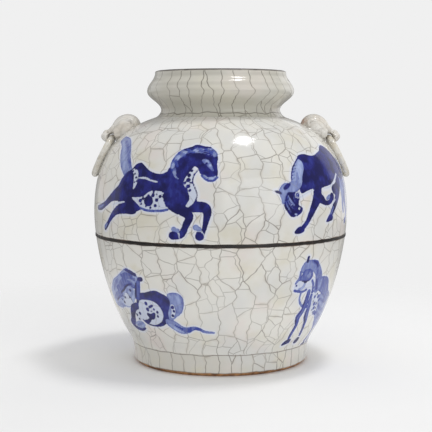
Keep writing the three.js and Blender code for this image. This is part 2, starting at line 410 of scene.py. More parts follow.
# The clouds in the glaze: their colour, their size, where they begin and end, how strong they get,
# and how far off they are taken from, so that no two lie alike
GLAZE_CLOUDS = (
    (GLAZE_PINK, 34, 0.5, 0.72, 0.75, (0, 0, 0)),
    (GLAZE_STRAW, 26, 0.5, 0.7, 0.7, (310, 0, 0)),
    (GLAZE_GREY, 40, 0.45, 0.7, 0.6, (310, 220, 0)),
)
CLOUD_DETAIL = 3
TONE_SHARE = 0.16
STAIN_SHARE = 0.35
# How deep the relief of the glaze is
SWELL_DEPTH = 0.5
PEEL_DEPTH = 0.02
CRACK_DEPTH = 0.03
# The soft edges of the painting, from outside to inside, and how far the cobalt bleeds over them
HALO_EDGE = (-2.8, -0.6)
RESERVE_EDGE = (-0.2, 0.6)
INK_EDGE = (-0.25, 0.25)
WASH_EDGE = (-0.75, -0.3)
BLEED_SIZE = 1.5
BLEED = 0.7
# The brush: how its marks are drawn out, how much they show in a wash, how a wash pools at its rim,
# and how the ink turns from deep to clear and bright with the load of the brush
BRUSH_DRAWN_OUT = (1.0, 1.0, 0.35)
BRUSH_SIZE = 2.6
BRUSH_SHOWS = 0.9
LOAD_SIZE = 8
WASH_RIM = (0, 0.9, 0.22, 0)
INK_CLEARS = (0.38, 0.62)
INK_BRIGHTENS = (0.26, 0.46, 0, 0.4)


def wall_places(recipe, place, radius):
    """How far round the jar and up its wall a place is, and how far from where the round starts."""
    rise = recipe.kept("rise")
    angle = recipe.math("ARCTAN2", recipe.axis(place, 0), 0 - recipe.axis(place, 1))
    half = math.pi * radius
    around = angle * radius - recipe.ripple(recipe.pair(rise, 0.0), CRACK_SWAY_SIZE, CRACK_SWAY)
    around = recipe.math("WRAP", around, half, -half)
    return around, rise, half - abs(around)


def cracks(recipe, place, wide, tall):
    """A net of cracks with cells so wide and tall: the distance to a crack, the cell's colour."""
    size = (wide, tall, 1)
    flat = recipe.vector("DIVIDE", place, size)
    nearest = recipe.cells(flat, "F1", "Position", loose=CRACK_LOOSENESS)
    second = recipe.cells(flat, "F2", "Position", loose=CRACK_LOOSENESS)
    across = recipe.vector("SUBTRACT", second, nearest)
    middle = recipe.vector("MULTIPLY", recipe.vector("ADD", second, nearest), (0.5,) * 3)
    reach = recipe.vector("DOT_PRODUCT", recipe.vector("SUBTRACT", middle, flat), across)
    length = recipe.vector("LENGTH", recipe.vector("DIVIDE", across, size))
    colour = recipe.cells(flat, "F1", "Color", loose=CRACK_LOOSENESS)
    return recipe.math("DIVIDE", reach, length), colour


def crazing(recipe, place, radius, wide, tall, share):
    """Glaze cracks: long first ones, and in a share of the cells later ones that end at them."""
    around, rise, behind = wall_places(recipe, place, radius)
    drift = recipe.vector("SUBTRACT", recipe.cloud(place, CRACK_DRIFT_SIZE, out=1), (0.5,) * 3)
    drift = recipe.vector("MULTIPLY", drift, CRACK_DRIFT)
    flat = recipe.vector("ADD", recipe.pair(around, rise), drift)
    first_gap, cell = cracks(recipe, flat, wide, tall)
    moved = recipe.vector("ADD", flat, recipe.vector("MULTIPLY", cell, OTHER_NET))
    later_gap, tone = cracks(recipe, moved, wide * LATER_CELLS[0], tall * LATER_CELLS[1])
    fresh = recipe.axis(cell, 1).between(share, share + 0.01, 1, 0)
    strength = recipe.cloud(place, 21).between(0.3, 0.66, 0.5, 1.0)
    first = first_gap.least(behind)
    lines = first.between(*FIRST_CRACK).most(later_gap.between(*LATER_CRACK) * fresh) * strength
    stain = first.between(*STAIN) * recipe.cloud(place, 9).between(0.4, 0.75)
    return lines, stain, recipe.axis(tone, 2)


def glaze_tones(recipe, place, base, stain, tone):
    """A pale glaze clouded pink, straw and grey, a little different from one crack to the next."""
    for colour, size, low, high, most, offset in GLAZE_CLOUDS:
        cloud = recipe.cloud(recipe.vector("ADD", place, offset), size, CLOUD_DETAIL)
        base = recipe.blend(cloud.between(low, high, 0, most), base, colour)
    return recipe.coats(base, (tone * TONE_SHARE, GLAZE_GREY), (stain * STAIN_SHARE, CRACK_STAIN))


def glaze_relief(recipe, place, lines):
    """The fine swell of a poured glaze, with its cracks sunk in it."""
    swell = recipe.ripple(place, 30, SWELL_DEPTH, 1) + recipe.ripple(place, 4, PEEL_DEPTH, 1)
    return swell - lines * CRACK_DEPTH


def cobalt_over(recipe, place, colour):
    """The painting laid over a colour, and the shares of a place that are halo, ink and wash."""
    bleed = recipe.ripple(place, BLEED_SIZE, BLEED, 1)
    figure = recipe.kept("figure")
    ink = recipe.kept("ink") + bleed
    wash = recipe.kept("wash") + bleed
    across = recipe.vector("MULTIPLY", place, BRUSH_DRAWN_OUT)
    brush = recipe.cloud(across, BRUSH_SIZE, CLOUD_DETAIL)
    load = recipe.cloud(place, LOAD_SIZE, CLOUD_DETAIL)
    halo = figure.between(*HALO_EDGE)
    inked = ink.between(*INK_EDGE)
    washed = wash.between(*WASH_EDGE)
    strength = recipe.kept("strength") + (brush - 0.5) * BRUSH_SHOWS + wash.between(*WASH_RIM)
    cobalt = recipe.blend(load.between(*INK_CLEARS), COBALT_DEEP, COBALT)
    cobalt = recipe.blend((brush * load).between(*INK_BRIGHTENS), cobalt, COBALT_BRIGHT)
    colour = recipe.coats(
        colour,
        (halo * 0.85, HALO),
        (figure.between(*RESERVE_EDGE), RESERVE),
        (washed, recipe.blend(strength, WASH_PALE, WASH_STRONG)),
        (inked, cobalt),
    )
    return colour, halo, inked, washed


def body_finish():
    """The crackled glaze, with the horses painted under it in cobalt."""
    recipe = Recipe("crackled_glaze_with_cobalt")
    place = recipe.place()
    lines, stain, tone = crazing(recipe, place, radius=98, wide=15, tall=25, share=0.75)
    colour = glaze_tones(recipe, place, GLAZE, stain, tone)
    colour, halo, inked, washed = cobalt_over(recipe, place, colour)
    lines = lines * (1 - halo * 0.5)
    colour = recipe.blend(lines * (1 - inked) * (1 - washed * 0.4), colour, CRACK)
    gloss = recipe.cloud(place, 15).between(0.3, 0.7, 0.09, 0.15) + lines * 0.2
    return recipe.finish(colour, gloss, glaze_relief(recipe, place, lines))


BODY_FINISH = body_finish()
BAND_GROOVE = 1.8
SEAT_RADIUS = radius_at(SEAM_LEVEL) - BAND_GROOVE
GLAZE_OVER_BAND = 0.35
BAND_HALF = (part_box("belly_band")[1].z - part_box("belly_band")[0].z) / 2 / MM - GLAZE_OVER_BAND
BAND_BOTTOM = SEAM_LEVEL - BAND_HALF
FLOOR_CORNER = np.interp(FLOOR_LEVEL, INSIDE[:, 1], INSIDE[:, 0])
LOWER_FACETS = 720


def floor_fillet():
    """The round between the floor and the wall, from the wall down."""
    across, up = arc(80, 0, 8)
    radii = FLOOR_CORNER - FLOOR_FILLET * (1 - up)
    return np.stack([radii, FLOOR_LEVEL + FLOOR_FILLET * (1 - across)], 1)


lower_outline = np.vstack([
    [(0, FOOT_TOP)],
    stretch(OUTSIDE, FOOT_TOP, BAND_BOTTOM, FACE_STEP),
    [(SEAT_RADIUS, BAND_BOTTOM), (SEAT_RADIUS, SEAM_LEVEL)],
    stretch(INSIDE, FLOOR_LEVEL + FLOOR_FILLET, SEAM_LEVEL, INNER_STEP)[::-1],
    floor_fillet(),
    [(0, FLOOR_LEVEL)],
])
lower_half = wall_piece(
    "lower_half", lower_outline, LOWER_FACETS, BODY_FINISH, "body_glaze", "lower_body"
)

# The upper half of the body
# The other bowl, thrown upside down and turned over onto the first one. Its closed end is cut open
# for the neck, and the two are luted together at the belly with slip.
BAND_TOP = SEAM_LEVEL + BAND_HALF
UPPER_FACETS = 672
upper_outline = np.vstack([
    [(SEAT_RADIUS, SEAM_LEVEL), (SEAT_RADIUS, BAND_TOP)],
    stretch(OUTSIDE, BAND_TOP, SHOULDER_LEVEL, FACE_STEP),
    [(BORE_RADIUS, SHOULDER_LEVEL)],
    stretch(INSIDE, SEAM_LEVEL, SHOULDER_LEVEL - BODY_WALL, INNER_STEP)[::-1],
])
upper_half = wall_piece(
    "upper_half", upper_outline, UPPER_FACETS, BODY_FINISH, "body_glaze", "upper_body"
)

# The belly band
# A thin strap of iron-rich clay, pressed into the groove round the joint and fired almost black.
# It was trimmed by hand, so its edges waver and it stands a little off the glaze.
IRON = shade(38, 31, 28)
IRON_WORN = shade(84, 70, 60)
IRON_DEEP = shade(20, 17, 17)
BAND_EDGE = shade(120, 98, 82)
BAND_PROUD = 0.45
BAND_OVERLAP = 0.15
BAND_TUCK = 0.1
BAND_EDGE_THICK = 0.15
BAND_WAVER = 0.32
BAND_WAVER_RATE = 9
EDGE_WAVER = 0.3
EDGE_WAVER_RATE = 21
OTHER_WAVER = Vector((7, 0, 0))
BAND_FACETS = 600


def iron_finish():
    """Nearly black fired iron clay, worn brown in spots and thin along the edges of the band."""
    recipe = Recipe("fired_iron_clay")
    place = recipe.place()
    patches = recipe.cloud(place, 5, 4)
    off_middle = abs(recipe.axis(place, 2) - SEAM_LEVEL)
    thin = off_middle.between(0.8, 1.5) * recipe.cloud(place, 14).between(0.4, 0.6, 0.2, 0.9)
    colour = recipe.coats(
        IRON_DEEP,
        (patches.between(0.35, 0.7), IRON),
        (recipe.cloud(place, 1.4, 3).between(0.56, 0.74, 0, 0.8), IRON_WORN),
        (thin, BAND_EDGE),
    )
    relief = recipe.cloud(place, 0.9, 2) * 0.05
    return recipe.finish(colour, patches.between(0.3, 0.7, 0.34, 0.55), relief)


IRON_FINISH = iron_finish()
band_foot = radius_at(SEAM_LEVEL)
band_out, band_up = arc(-90, 90, 9)
band_radii = band_foot + BAND_EDGE_THICK + (BAND_PROUD - BAND_EDGE_THICK) * band_out
band_levels = SEAM_LEVEL + (BAND_HALF + BAND_OVERLAP) * band_up
band_outline = np.vstack([
    [(SEAT_RADIUS, BAND_BOTTOM + BAND_TUCK), (band_foot - BAND_TUCK, BAND_BOTTOM - BAND_OVERLAP)],
    np.stack([band_radii, band_levels], 1),
    [(band_foot - BAND_TUCK, BAND_TOP + BAND_OVERLAP), (SEAT_RADIUS, BAND_TOP - BAND_TUCK)],
])
brown_band = turned("brown_band", band_outline, BAND_FACETS)
for point in brown_band.data.vertices:
    way = Vector((point.co.x, point.co.y, 0)).normalized()
    edge = (point.co.z / MM - SEAM_LEVEL) / BAND_HALF
    thinner = edge * noise.noise(way * EDGE_WAVER_RATE + OTHER_WAVER) * EDGE_WAVER
    point.co.z += (noise.noise(way * BAND_WAVER_RATE) * BAND_WAVER + thinner) * MM
settled(brown_band, IRON_FINISH, "jar", "iron_brown", "belly_band")

# The foot ring
# A ring turned from thick clay under the lower half. The glaze stops short of the table, and the
# bare edge burns orange-brown, with a thin dark line where the glaze ends.
BARE_CLAY = shade(189, 140, 92)
BARE_CLAY_DARK = shade(120, 84, 58)
GLAZE_END = shade(70, 56, 46)
# The body's glaze made darker on the foot, as painted shade low on the jar
FOOT_GLAZE_SHADED = shade(208, 205, 196)
FOOT_WALL = 9
FOOT_JOINT = FOOT_TOP - 0.8
JOINT_CRACK = (0.1, 0.6)
BARE_BELOW = 2.6
STANDING_FLAT = 0.8
BEVEL_START = 0.25
BEVEL_LEANS = ((-1.5, 1.1), (-0.1, 1.9))
BEVEL_SKIP = 16
INNER_CHAMFER = (1.2, 1.4)
INNER_TURN = 8
FOOT_FACETS = 480


def with_joint(lines, off_joint, strength):
    """The cracks, and one more that runs along the joint between two pieces under the glaze."""
    return lines.most(abs(off_joint).between(*JOINT_CRACK, strength, 0))


def foot_finish():
    """The crackled glaze down to a wavering edge, and bare burnt clay below it."""
    recipe = Recipe("crackled_glaze_over_bare_clay")
    place = recipe.place()
    level = recipe.axis(place, 2)
    lines, stain, tone = crazing(recipe, place, radius=73, wide=10, tall=44, share=0.3)
    lines = with_joint(lines, level + recipe.ripple(place, 14, 2.4) - FOOT_JOINT, 0.9)
    edge = level - recipe.ripple(place, 12, 2.2, 3) - BARE_BELOW
    bare = edge.between(-0.2, 0.2, 1, 0)
    burnt = recipe.cloud(place, 5, 4).between(0.3, 0.7)
    colour = recipe.coats(
        # The foot's glaze carries painted shade
        glaze_tones(recipe, place, FOOT_GLAZE_SHADED, stain, tone),
        (lines, CRACK),
        (abs(edge).between(0.1, 0.7, 0.7, 0), GLAZE_END),
        (bare, recipe.blend(burnt, BARE_CLAY, BARE_CLAY_DARK)),
    )
    relief = glaze_relief(recipe, place, lines) * (1 - bare)
    grit = recipe.cloud(place, 0.8, 3) * bare * 0.12
    return recipe.finish(colour, bare * 0.6 + 0.13, relief + grit)


bevel_foot = (FOOT_RADIUS - FOOT_BEVEL, BEVEL_START)
bevel_top = (FOOT_RADIUS, FOOT_BEVEL_HEIGHT)
bevel_leans = [shifted((FOOT_RADIUS, 0), *lean) for lean in BEVEL_LEANS]
foot_inside = FOOT_TOP_RADIUS - FOOT_WALL
foot_outline = np.vstack([
    [(bevel_foot[0] - STANDING_FLAT, 0), bevel_foot],
    curve(bevel_foot, *bevel_leans, bevel_top)[::BEVEL_SKIP],
    stretch(OUTSIDE, FOOT_BEVEL_HEIGHT, FOOT_TOP, FACE_STEP),
    [(foot_inside, FOOT_TOP), (foot_inside, INNER_TURN), (foot_inside, INNER_CHAMFER[1])],
    [(foot_inside + INNER_CHAMFER[0], 0)],
])
wall_piece("turned_foot", foot_outline, FOOT_FACETS, foot_finish(), "foot_glaze", "foot_ring")

# The neck
# A cup-shaped mouth thrown on its own and set on the shoulder with slip. The glaze is thicker here,
# so it looks greyer and greener, and it cracked in long lines up and down.
NECK_GLAZE = shade(199, 196, 185)
# The colour of the painted shade low in the throat
NECK_THROAT_SHADE = shade(176, 175, 161)
NECK_CRACK = shade(104, 99, 90)
NECK_JOINT = 3
RIDGE_RATE = 0.85
RIDGE_DEPTH = 0.42
NECK_INNER_STEP = 1.6
NECK_INNER_END = 2
NECK_FACETS = 560


def neck_finish():
    """Thick greyish glaze with long cracks, over the ridges that the thrower's fingers left, with
    painted shade in the throat.
    """
    recipe = Recipe("thick_crackled_glaze")
    place = recipe.place()
    level = recipe.axis(place, 2)
    up = level - SHOULDER_LEVEL
    lines, stain, tone = crazing(recipe, place, radius=57, wide=11.5, tall=70, share=0.15)
    lines = with_joint(lines, up + recipe.ripple(place, 16, 5) - NECK_JOINT, 0.8)
    # Painted shade: the throat is darker just above the shoulder and fades out towards the cup
    throat_shade = up.between(5, 22, 0.34, 0) * recipe.cloud(place, 12).between(0.2, 0.6, 0.5, 1)
    colour = recipe.coats(
        glaze_tones(recipe, place, NECK_GLAZE, stain, tone),
        (0.55, NECK_GLAZE),
        (throat_shade, NECK_THROAT_SHADE),
        (lines, NECK_CRACK),
    )
    ridges = recipe.math("SINE", level * RIDGE_RATE) * up.between(18, 26, 0, RIDGE_DEPTH)
    return recipe.finish(colour, lines * 0.2 + 0.11, glaze_relief(recipe, place, lines) + ridges)


neck_inside = inside(OUTSIDE, NECK_WALL)
neck_levels = (SHOULDER_LEVEL + NECK_INNER_END, LIP_LEVEL - NECK_INNER_END)
neck_outline = np.vstack([
    stretch(OUTSIDE, SHOULDER_LEVEL, LIP_LEVEL, FACE_STEP),
    [(LIP_RADIUS - NECK_WALL, LIP_LEVEL)],
    stretch(neck_inside, *neck_levels, NECK_INNER_STEP)[::-1],
    [(BORE_RADIUS, SHOULDER_LEVEL)],
])
wall_piece("cup_neck", neck_outline, NECK_FACETS, neck_finish(), "neck_glaze", "neck")

# The lip
# The rim is wiped thin and rounded, then brushed with the same iron dressing as the belly band,
# which burnt through as an uneven dark grey line.
LIP_GREY = shade(118, 112, 108)
LIP_SIDE = 0.35
LIP_NARROWING = 0.12


def lip_finish():
    """Iron dressing brushed over the rim, grey where it is thin."""
    recipe = Recipe("iron_dressed_rim")
    place = recipe.place()
    patches = recipe.cloud(place, 7, 4)
    level = recipe.axis(place, 2) + (patches - 0.5) * 0.8
    colour = recipe.coats(
        NECK_GLAZE,
        (level.between(LIP_LEVEL - 0.1, LIP_LEVEL + 0.8), LIP_GREY),
        (level.between(LIP_LEVEL + 0.5, LIP_TOP - 0.2) * patches.between(0.3, 0.65, 0.45, 1), IRON),
    )
    relief = recipe.cloud(place, 1.2, 2) * 0.04
    return recipe.finish(colour, patches.between(0.3, 0.7, 0.2, 0.4), relief)


lip_out, lip_up = arc(0, 180, 15)
lip_middle = LIP_RADIUS - NECK_WALL / 2
lip_radii = lip_middle + NECK_WALL / 2 * lip_out * (1 - LIP_NARROWING * lip_up)
lip_heights = LIP_LEVEL + (LIP_TOP - LIP_LEVEL) * (LIP_SIDE + (1 - LIP_SIDE) * lip_up)
lip_outline = np.vstack([
    [(LIP_RADIUS - NECK_WALL, LIP_LEVEL), (LIP_RADIUS, LIP_LEVEL)],
    np.stack([lip_radii, lip_heights], 1),
])
dressed_lip = turned("dressed_lip", lip_outline, NECK_FACETS)
settled(dressed_lip, lip_finish(), "jar", "iron_brown", "lip_edge")

# The eight horses
# Painted by hand in cobalt on the raw body before glazing, four over the band and four under it:
# solid ink, thinned washes, and bare ground left for the dapples, the blazes and the light edges.
ROUND_SCALE = 100
SMOOTH_STEPS = 5
REACH = 5
FAR_OFF = -9.0
STRENGTH_SPREAD = 0.6
DOT_SPREAD = 0.15
PAINTED_SKIN = 1


def smooth_line(points, closed):
    """A soft line through the given points, as many columns wide as they are."""
    p = np.array(points, float)
    ends = [p[-1:], p, p[:2]] if closed else [p[:1], p, p[-1:]]
    q = np.vstack(ends)
    t = np.linspace(0, 1, SMOOTH_STEPS, endpoint=False)[:, None]
    parts = []
    for a, b, c, d in zip(q, q[1:], q[2:], q[3:]):
        bend = 2 * a - 5 * b + 4 * c - d + t * (3 * (b - c) + d - a)
        parts.append(b + 0.5 * t * (c - a + t * bend))
    return np.vstack(parts + ([] if closed else [p[-1:]]))


def along(place, line, k):
    """Each place's distance to stretch k of a line, and how far along it the nearest point is."""
    a, b = line[k, :2], line[(k + 1) % len(line), :2]
    step = b - a
    share = np.clip(((place - a) @ step) / max(step @ step, 1e-9), 0, 1)
    return np.hypot(*(place - a - share[:, None] * step).T), share


def fill(place, points):
    """How deep each place lies inside a filled outline, in millimetres. It is negative outside."""
    line = smooth_line(points, True)
    near = np.full(len(place), np.inf)
    inside = np.zeros(len(place), bool)
    for k in range(len(line)):
        near = np.minimum(near, along(place, line, k)[0])
        (ax, ay), (bx, by) = line[k], line[(k + 1) % len(line)]
        if ay != by:
            crossing = (ay > place[:, 1]) != (by > place[:, 1])
            inside ^= crossing & (place[:, 0] < (bx - ax) * (place[:, 1] - ay) / (by - ay) + ax)
    return np.where(inside, near, -near)


def stroke(place, points):
    """How deep each place lies in a brush stroke, whose points give its middle and half width."""
    line = smooth_line(points, False)
    depth = np.full(len(place), -np.inf)
    for k in range(len(line) - 1):
        near, share = along(place, line, k)
        depth = np.maximum(depth, line[k, 2] + share * (line[k + 1, 2] - line[k, 2]) - near)
    return depth


def dots(place, points):
    """How deep each place lies in the nearest of some round spots, which run a bit in the glaze."""
    depths = [size + DOT_SPREAD - np.hypot(*(place - spot).T) for *spot, size in points]
    return np.max(depths, axis=0)


# The tones of a mark: solid, left bare, or between them a wash of that strength
INK = 1.0
BARE = 0.0
# Each horse is a list of marks, and later marks cover earlier ones. A mark is its tone, its kind
# and one or more lists of points, which are millimetres to the right from the front, at 100 to the
# radian, and up the wall from the band.
GALLOPING = [
    (0.5, stroke, [(-80, 55, 4.5), (-87, 63, 5.5), (-94, 72, 5.8), (-103, 80, 4.6),
        (-117, 84, 2.6)]),
    (0.8, stroke, [(-79, 59, 0.7), (-87, 69, 0.9), (-96, 77.5, 0.9), (-106, 82, 0.7)]),
    (0.3, stroke, [(-85, 57, 0.7), (-92, 66, 0.9), (-100, 75, 0.9), (-110, 81, 0.7)]),
    (INK, fill, [(-81, 54), (-76, 57), (-72, 61.5), (-67, 62.5), (-62, 59.5), (-56, 55.8),
        (-47, 54), (-41, 56.5), (-33, 60), (-24, 60), (-20.5, 57), (-21, 50), (-18.5, 43),
        (-17, 36), (-17, 30), (-20, 26), (-26, 23), (-33, 24.5), (-39, 27.5), (-48, 26),
        (-60, 26.5), (-66, 24.5), (-76, 23), (-84, 28), (-89, 38), (-86, 48)],
        [(-41, 56), (-37, 64), (-31, 72), (-22, 77), (-10, 76), (-4, 74), (-2, 68), (-2.6, 62),
         (-2, 56), (-2.5, 52), (-6, 49.8), (-11, 50.5), (-15, 54.5), (-17, 58.5), (-20, 60.3),
         (-24, 56), (-30, 54)]),
    (INK, stroke, [(-21, 29.5, 4), (-12, 29.3, 4), (-9.4, 25.5, 3.1), (-10.6, 18, 2.1),
        (-12, 12, 1.7), (-14, 8.5, 2.2)],
        [(-28, 27, 4), (-22.5, 22.5, 3.2), (-25.2, 15, 2.5), (-27.4, 10, 2.6), (-30, 7.8, 2.6),
         (-35, 7.6, 3.2)]),
    (INK, dots, [(-15, 7.6, 3.2), (-15.2, 10.5, 2)]),
    (INK, stroke, [(-70, 27.5, 5.5), (-82, 26, 4.2), (-90, 22.5, 2.8), (-97, 16.5, 1.9),
        (-102, 11.5, 1.8), (-105.5, 9, 2)],
        [(-85, 38, 6.5), (-95, 34, 3.4), (-104, 28.5, 2.4), (-113, 25, 2.6), (-121, 24, 1.8)]),
    (0.7, stroke, [(-108, 27, 0.8), (-113, 25.5, 1.1), (-118, 24.5, 0.8)]),
    (0.6, stroke, [(-35, 54.5, 1.4), (-37, 60, 2.2), (-35.5, 66, 2.6), (-31, 71.5, 2.8),
        (-24, 74, 2.8), (-16, 74, 2.4), (-9, 73, 3.2), (-4.5, 70, 1.9)]),
    (0.9, stroke, [(-38, 57, 0.4), (-37, 63, 0.6), (-33.5, 69, 0.6)],
        [(-29, 70.5, 0.5), (-25, 72.5, 0.6), (-20, 75.5, 0.6)]),
    (INK, stroke, [(-13.5, 72, 0.5), (-9, 71, 0.6), (-6, 68.5, 0.5)],
        [(-36, 57, 0.3), (-35.2, 62, 0.4), (-32, 67.4, 0.3)],
        [(-30, 73.6, 0.3), (-25.5, 74.2, 0.4), (-21, 76.4, 0.3)],
        [(-19, 72.6, 0.3), (-15, 73.8, 0.4), (-10.4, 73.4, 0.3)],
        [(-15, 76, 0.5), (-10, 75, 0.4), (-6, 73.4, 0.4)],
        [(-32.5, 58, 0.6), (-33, 64, 0.7), (-28, 69.5, 0.7), (-23, 71.5, 0.7)],
        [(-31, 74.5, 0.6), (-25, 76.4, 0.8), (-20, 78.3, 1.1), (-14, 77.3, 0.8), (-8, 76.5, 0.7)]),
    (0.2, stroke, [(-37.5, 60, 0.7), (-35, 67, 0.8), (-29, 72.5, 0.8)]),
    (0.25, stroke, [(-24, 72.6, 0.7), (-19, 74.2, 0.9), (-12, 75, 0.8), (-8, 74.6, 0.6)]),
    (0.95, stroke, [(-33.5, 60.5, 0.8), (-35.5, 63.8, 0.9), (-38, 65.5, 0.6)]),
    (0.8, stroke, [(-29, 69, 0.8), (-32.5, 70.8, 1), (-34.6, 71.6, 0.6)]),
    (0.95, stroke, [(-22.5, 72, 0.8), (-25.5, 74, 1), (-28.4, 75.2, 0.6)]),
    (0.8, stroke, [(-13.5, 72.8, 0.7), (-16.8, 74.8, 0.9), (-20, 76.4, 0.6)]),
    (0.95, stroke, [(-7, 71, 0.7), (-9.4, 73.4, 0.8), (-12.4, 75.6, 0.6)]),
    (0.35, stroke, [(-36, 55.5, 0.9), (-34.5, 52.5, 0.8), (-32, 50.5, 0.5)]),
    (0.6, fill, [(-14.5, 66), (-11, 66.5), (-8, 64), (-6, 60), (-5.2, 56.5), (-8, 58.5),
        (-10.5, 61), (-13.5, 63.5)]),
    (0.1, dots, [(-10.2, 64.6, 0.7), (-8, 61.4, 0.6)]),
    (INK, dots, [(-10.8, 62.9, 0.9), (-4.3, 57.5, 0.6)]),
    (0.1, stroke, [(-13, 53.2, 0.9), (-10, 51.5, 1.3), (-6, 51, 1.3), (-3.6, 52.4, 0.8)]),
    (0.8, stroke, [(-14, 53.4, 0.4), (-10.4, 50, 0.4), (-5.6, 49.4, 0.4), (-2.4, 52, 0.4)]),
    (INK, stroke, [(-11.5, 54, 0.5), (-8.8, 52.8, 0.7), (-6, 53.2, 0.5)]),
    (0.35, dots, [(-34, 12.4, 1.5), (-31.4, 11.4, 1.3)]),
    (BARE, stroke, [(-31.6, 12, 0.4), (-30.4, 9.4, 0.6), (-30.2, 6.4, 0.5)]),
    (0.35, dots, [(-17.6, 14.2, 1.6), (-15.4, 12.8, 1.5)]),
    (BARE, stroke, [(-17.4, 11.4, 0.4), (-14, 11.6, 0.6), (-12, 9, 0.5)]),
    (0.5, stroke, [(-102, 12.6, 0.8), (-105.4, 9.6, 1.2)]),
    (BARE, fill, [(-20.3, 59.8), (-23, 56.5), (-26, 52), (-27.5, 47.5), (-25.5, 43), (-23.5, 40),
        (-22.5, 35.5), (-25, 30.5), (-23.5, 29.3), (-20, 32), (-17.8, 36), (-17.6, 40), (-19.5, 45),
        (-21, 50), (-20.2, 55)]),
    (INK, stroke, [(-17, 57.8, 0.4), (-20, 53, 0.5), (-20.4, 48, 0.5), (-18.2, 43, 0.5),
        (-17, 38, 0.5), (-18.5, 33.5, 0.5)]),
    (INK, dots, [(-21.8, 57, 1), (-23.5, 53.5, 1.3), (-24, 49.8, 1.6), (-26.3, 47.6, 0.9),
        (-23.8, 45, 1.4), (-22.3, 42, 1), (-25, 42.6, 0.7), (-22, 47.6, 0.7)]),
    (BARE, stroke, [(-73.5, 56, 1.5), (-70.5, 54, 2.4), (-69.3, 49, 2), (-69.5, 45, 1.5),
        (-70.3, 42, 0.6)]),
    (INK, dots, [(-74, 55.3, 0.9), (-71.3, 53.5, 0.8), (-69.3, 50.6, 0.9), (-68, 48, 0.8),
        (-70.2, 47, 0.6), (-71.6, 57, 0.6)]),
    (BARE, stroke, [(-66, 50.3, 0.6), (-60, 50.5, 0.8), (-56, 49.2, 0.7), (-49, 47.7, 0.6)]),
    (BARE, fill, [(-71, 35), (-65, 35.5), (-60, 36.5), (-55, 40), (-50, 41), (-43, 40), (-42.5, 36),
        (-40.5, 30.5), (-38.5, 27.8), (-43, 26.5), (-52, 26), (-58, 26.3), (-62, 28), (-66, 31)]),
    (0.7, stroke, [(-62, 27.5, 0.5), (-56, 25.8, 0.5), (-46, 25.9, 0.5), (-39, 27, 0.5)]),
    (INK, stroke, [(-43.5, 39, 0.4), (-42, 34, 0.5), (-39.5, 29, 0.5)]),
    (INK, dots, [(-55, 33, 3.9), (-62.5, 33, 1.4), (-60, 34.7, 1.1), (-61.5, 30.5, 0.8),
        (-51.3, 37.5, 1.3), (-51, 40, 0.8), (-48, 34, 1.4), (-45.3, 36.8, 1.2), (-49, 29.8, 1.2),
        (-45.5, 29.5, 0.6), (-53, 28, 0.9), (-57, 29, 0.7), (-55.3, 37.4, 0.8),
        (-48.2, 38.3, 0.6)]),
    (BARE, stroke, [(-79, 31.2, 0.6), (-87, 29.8, 0.9), (-93, 28.3, 0.7)]),
]
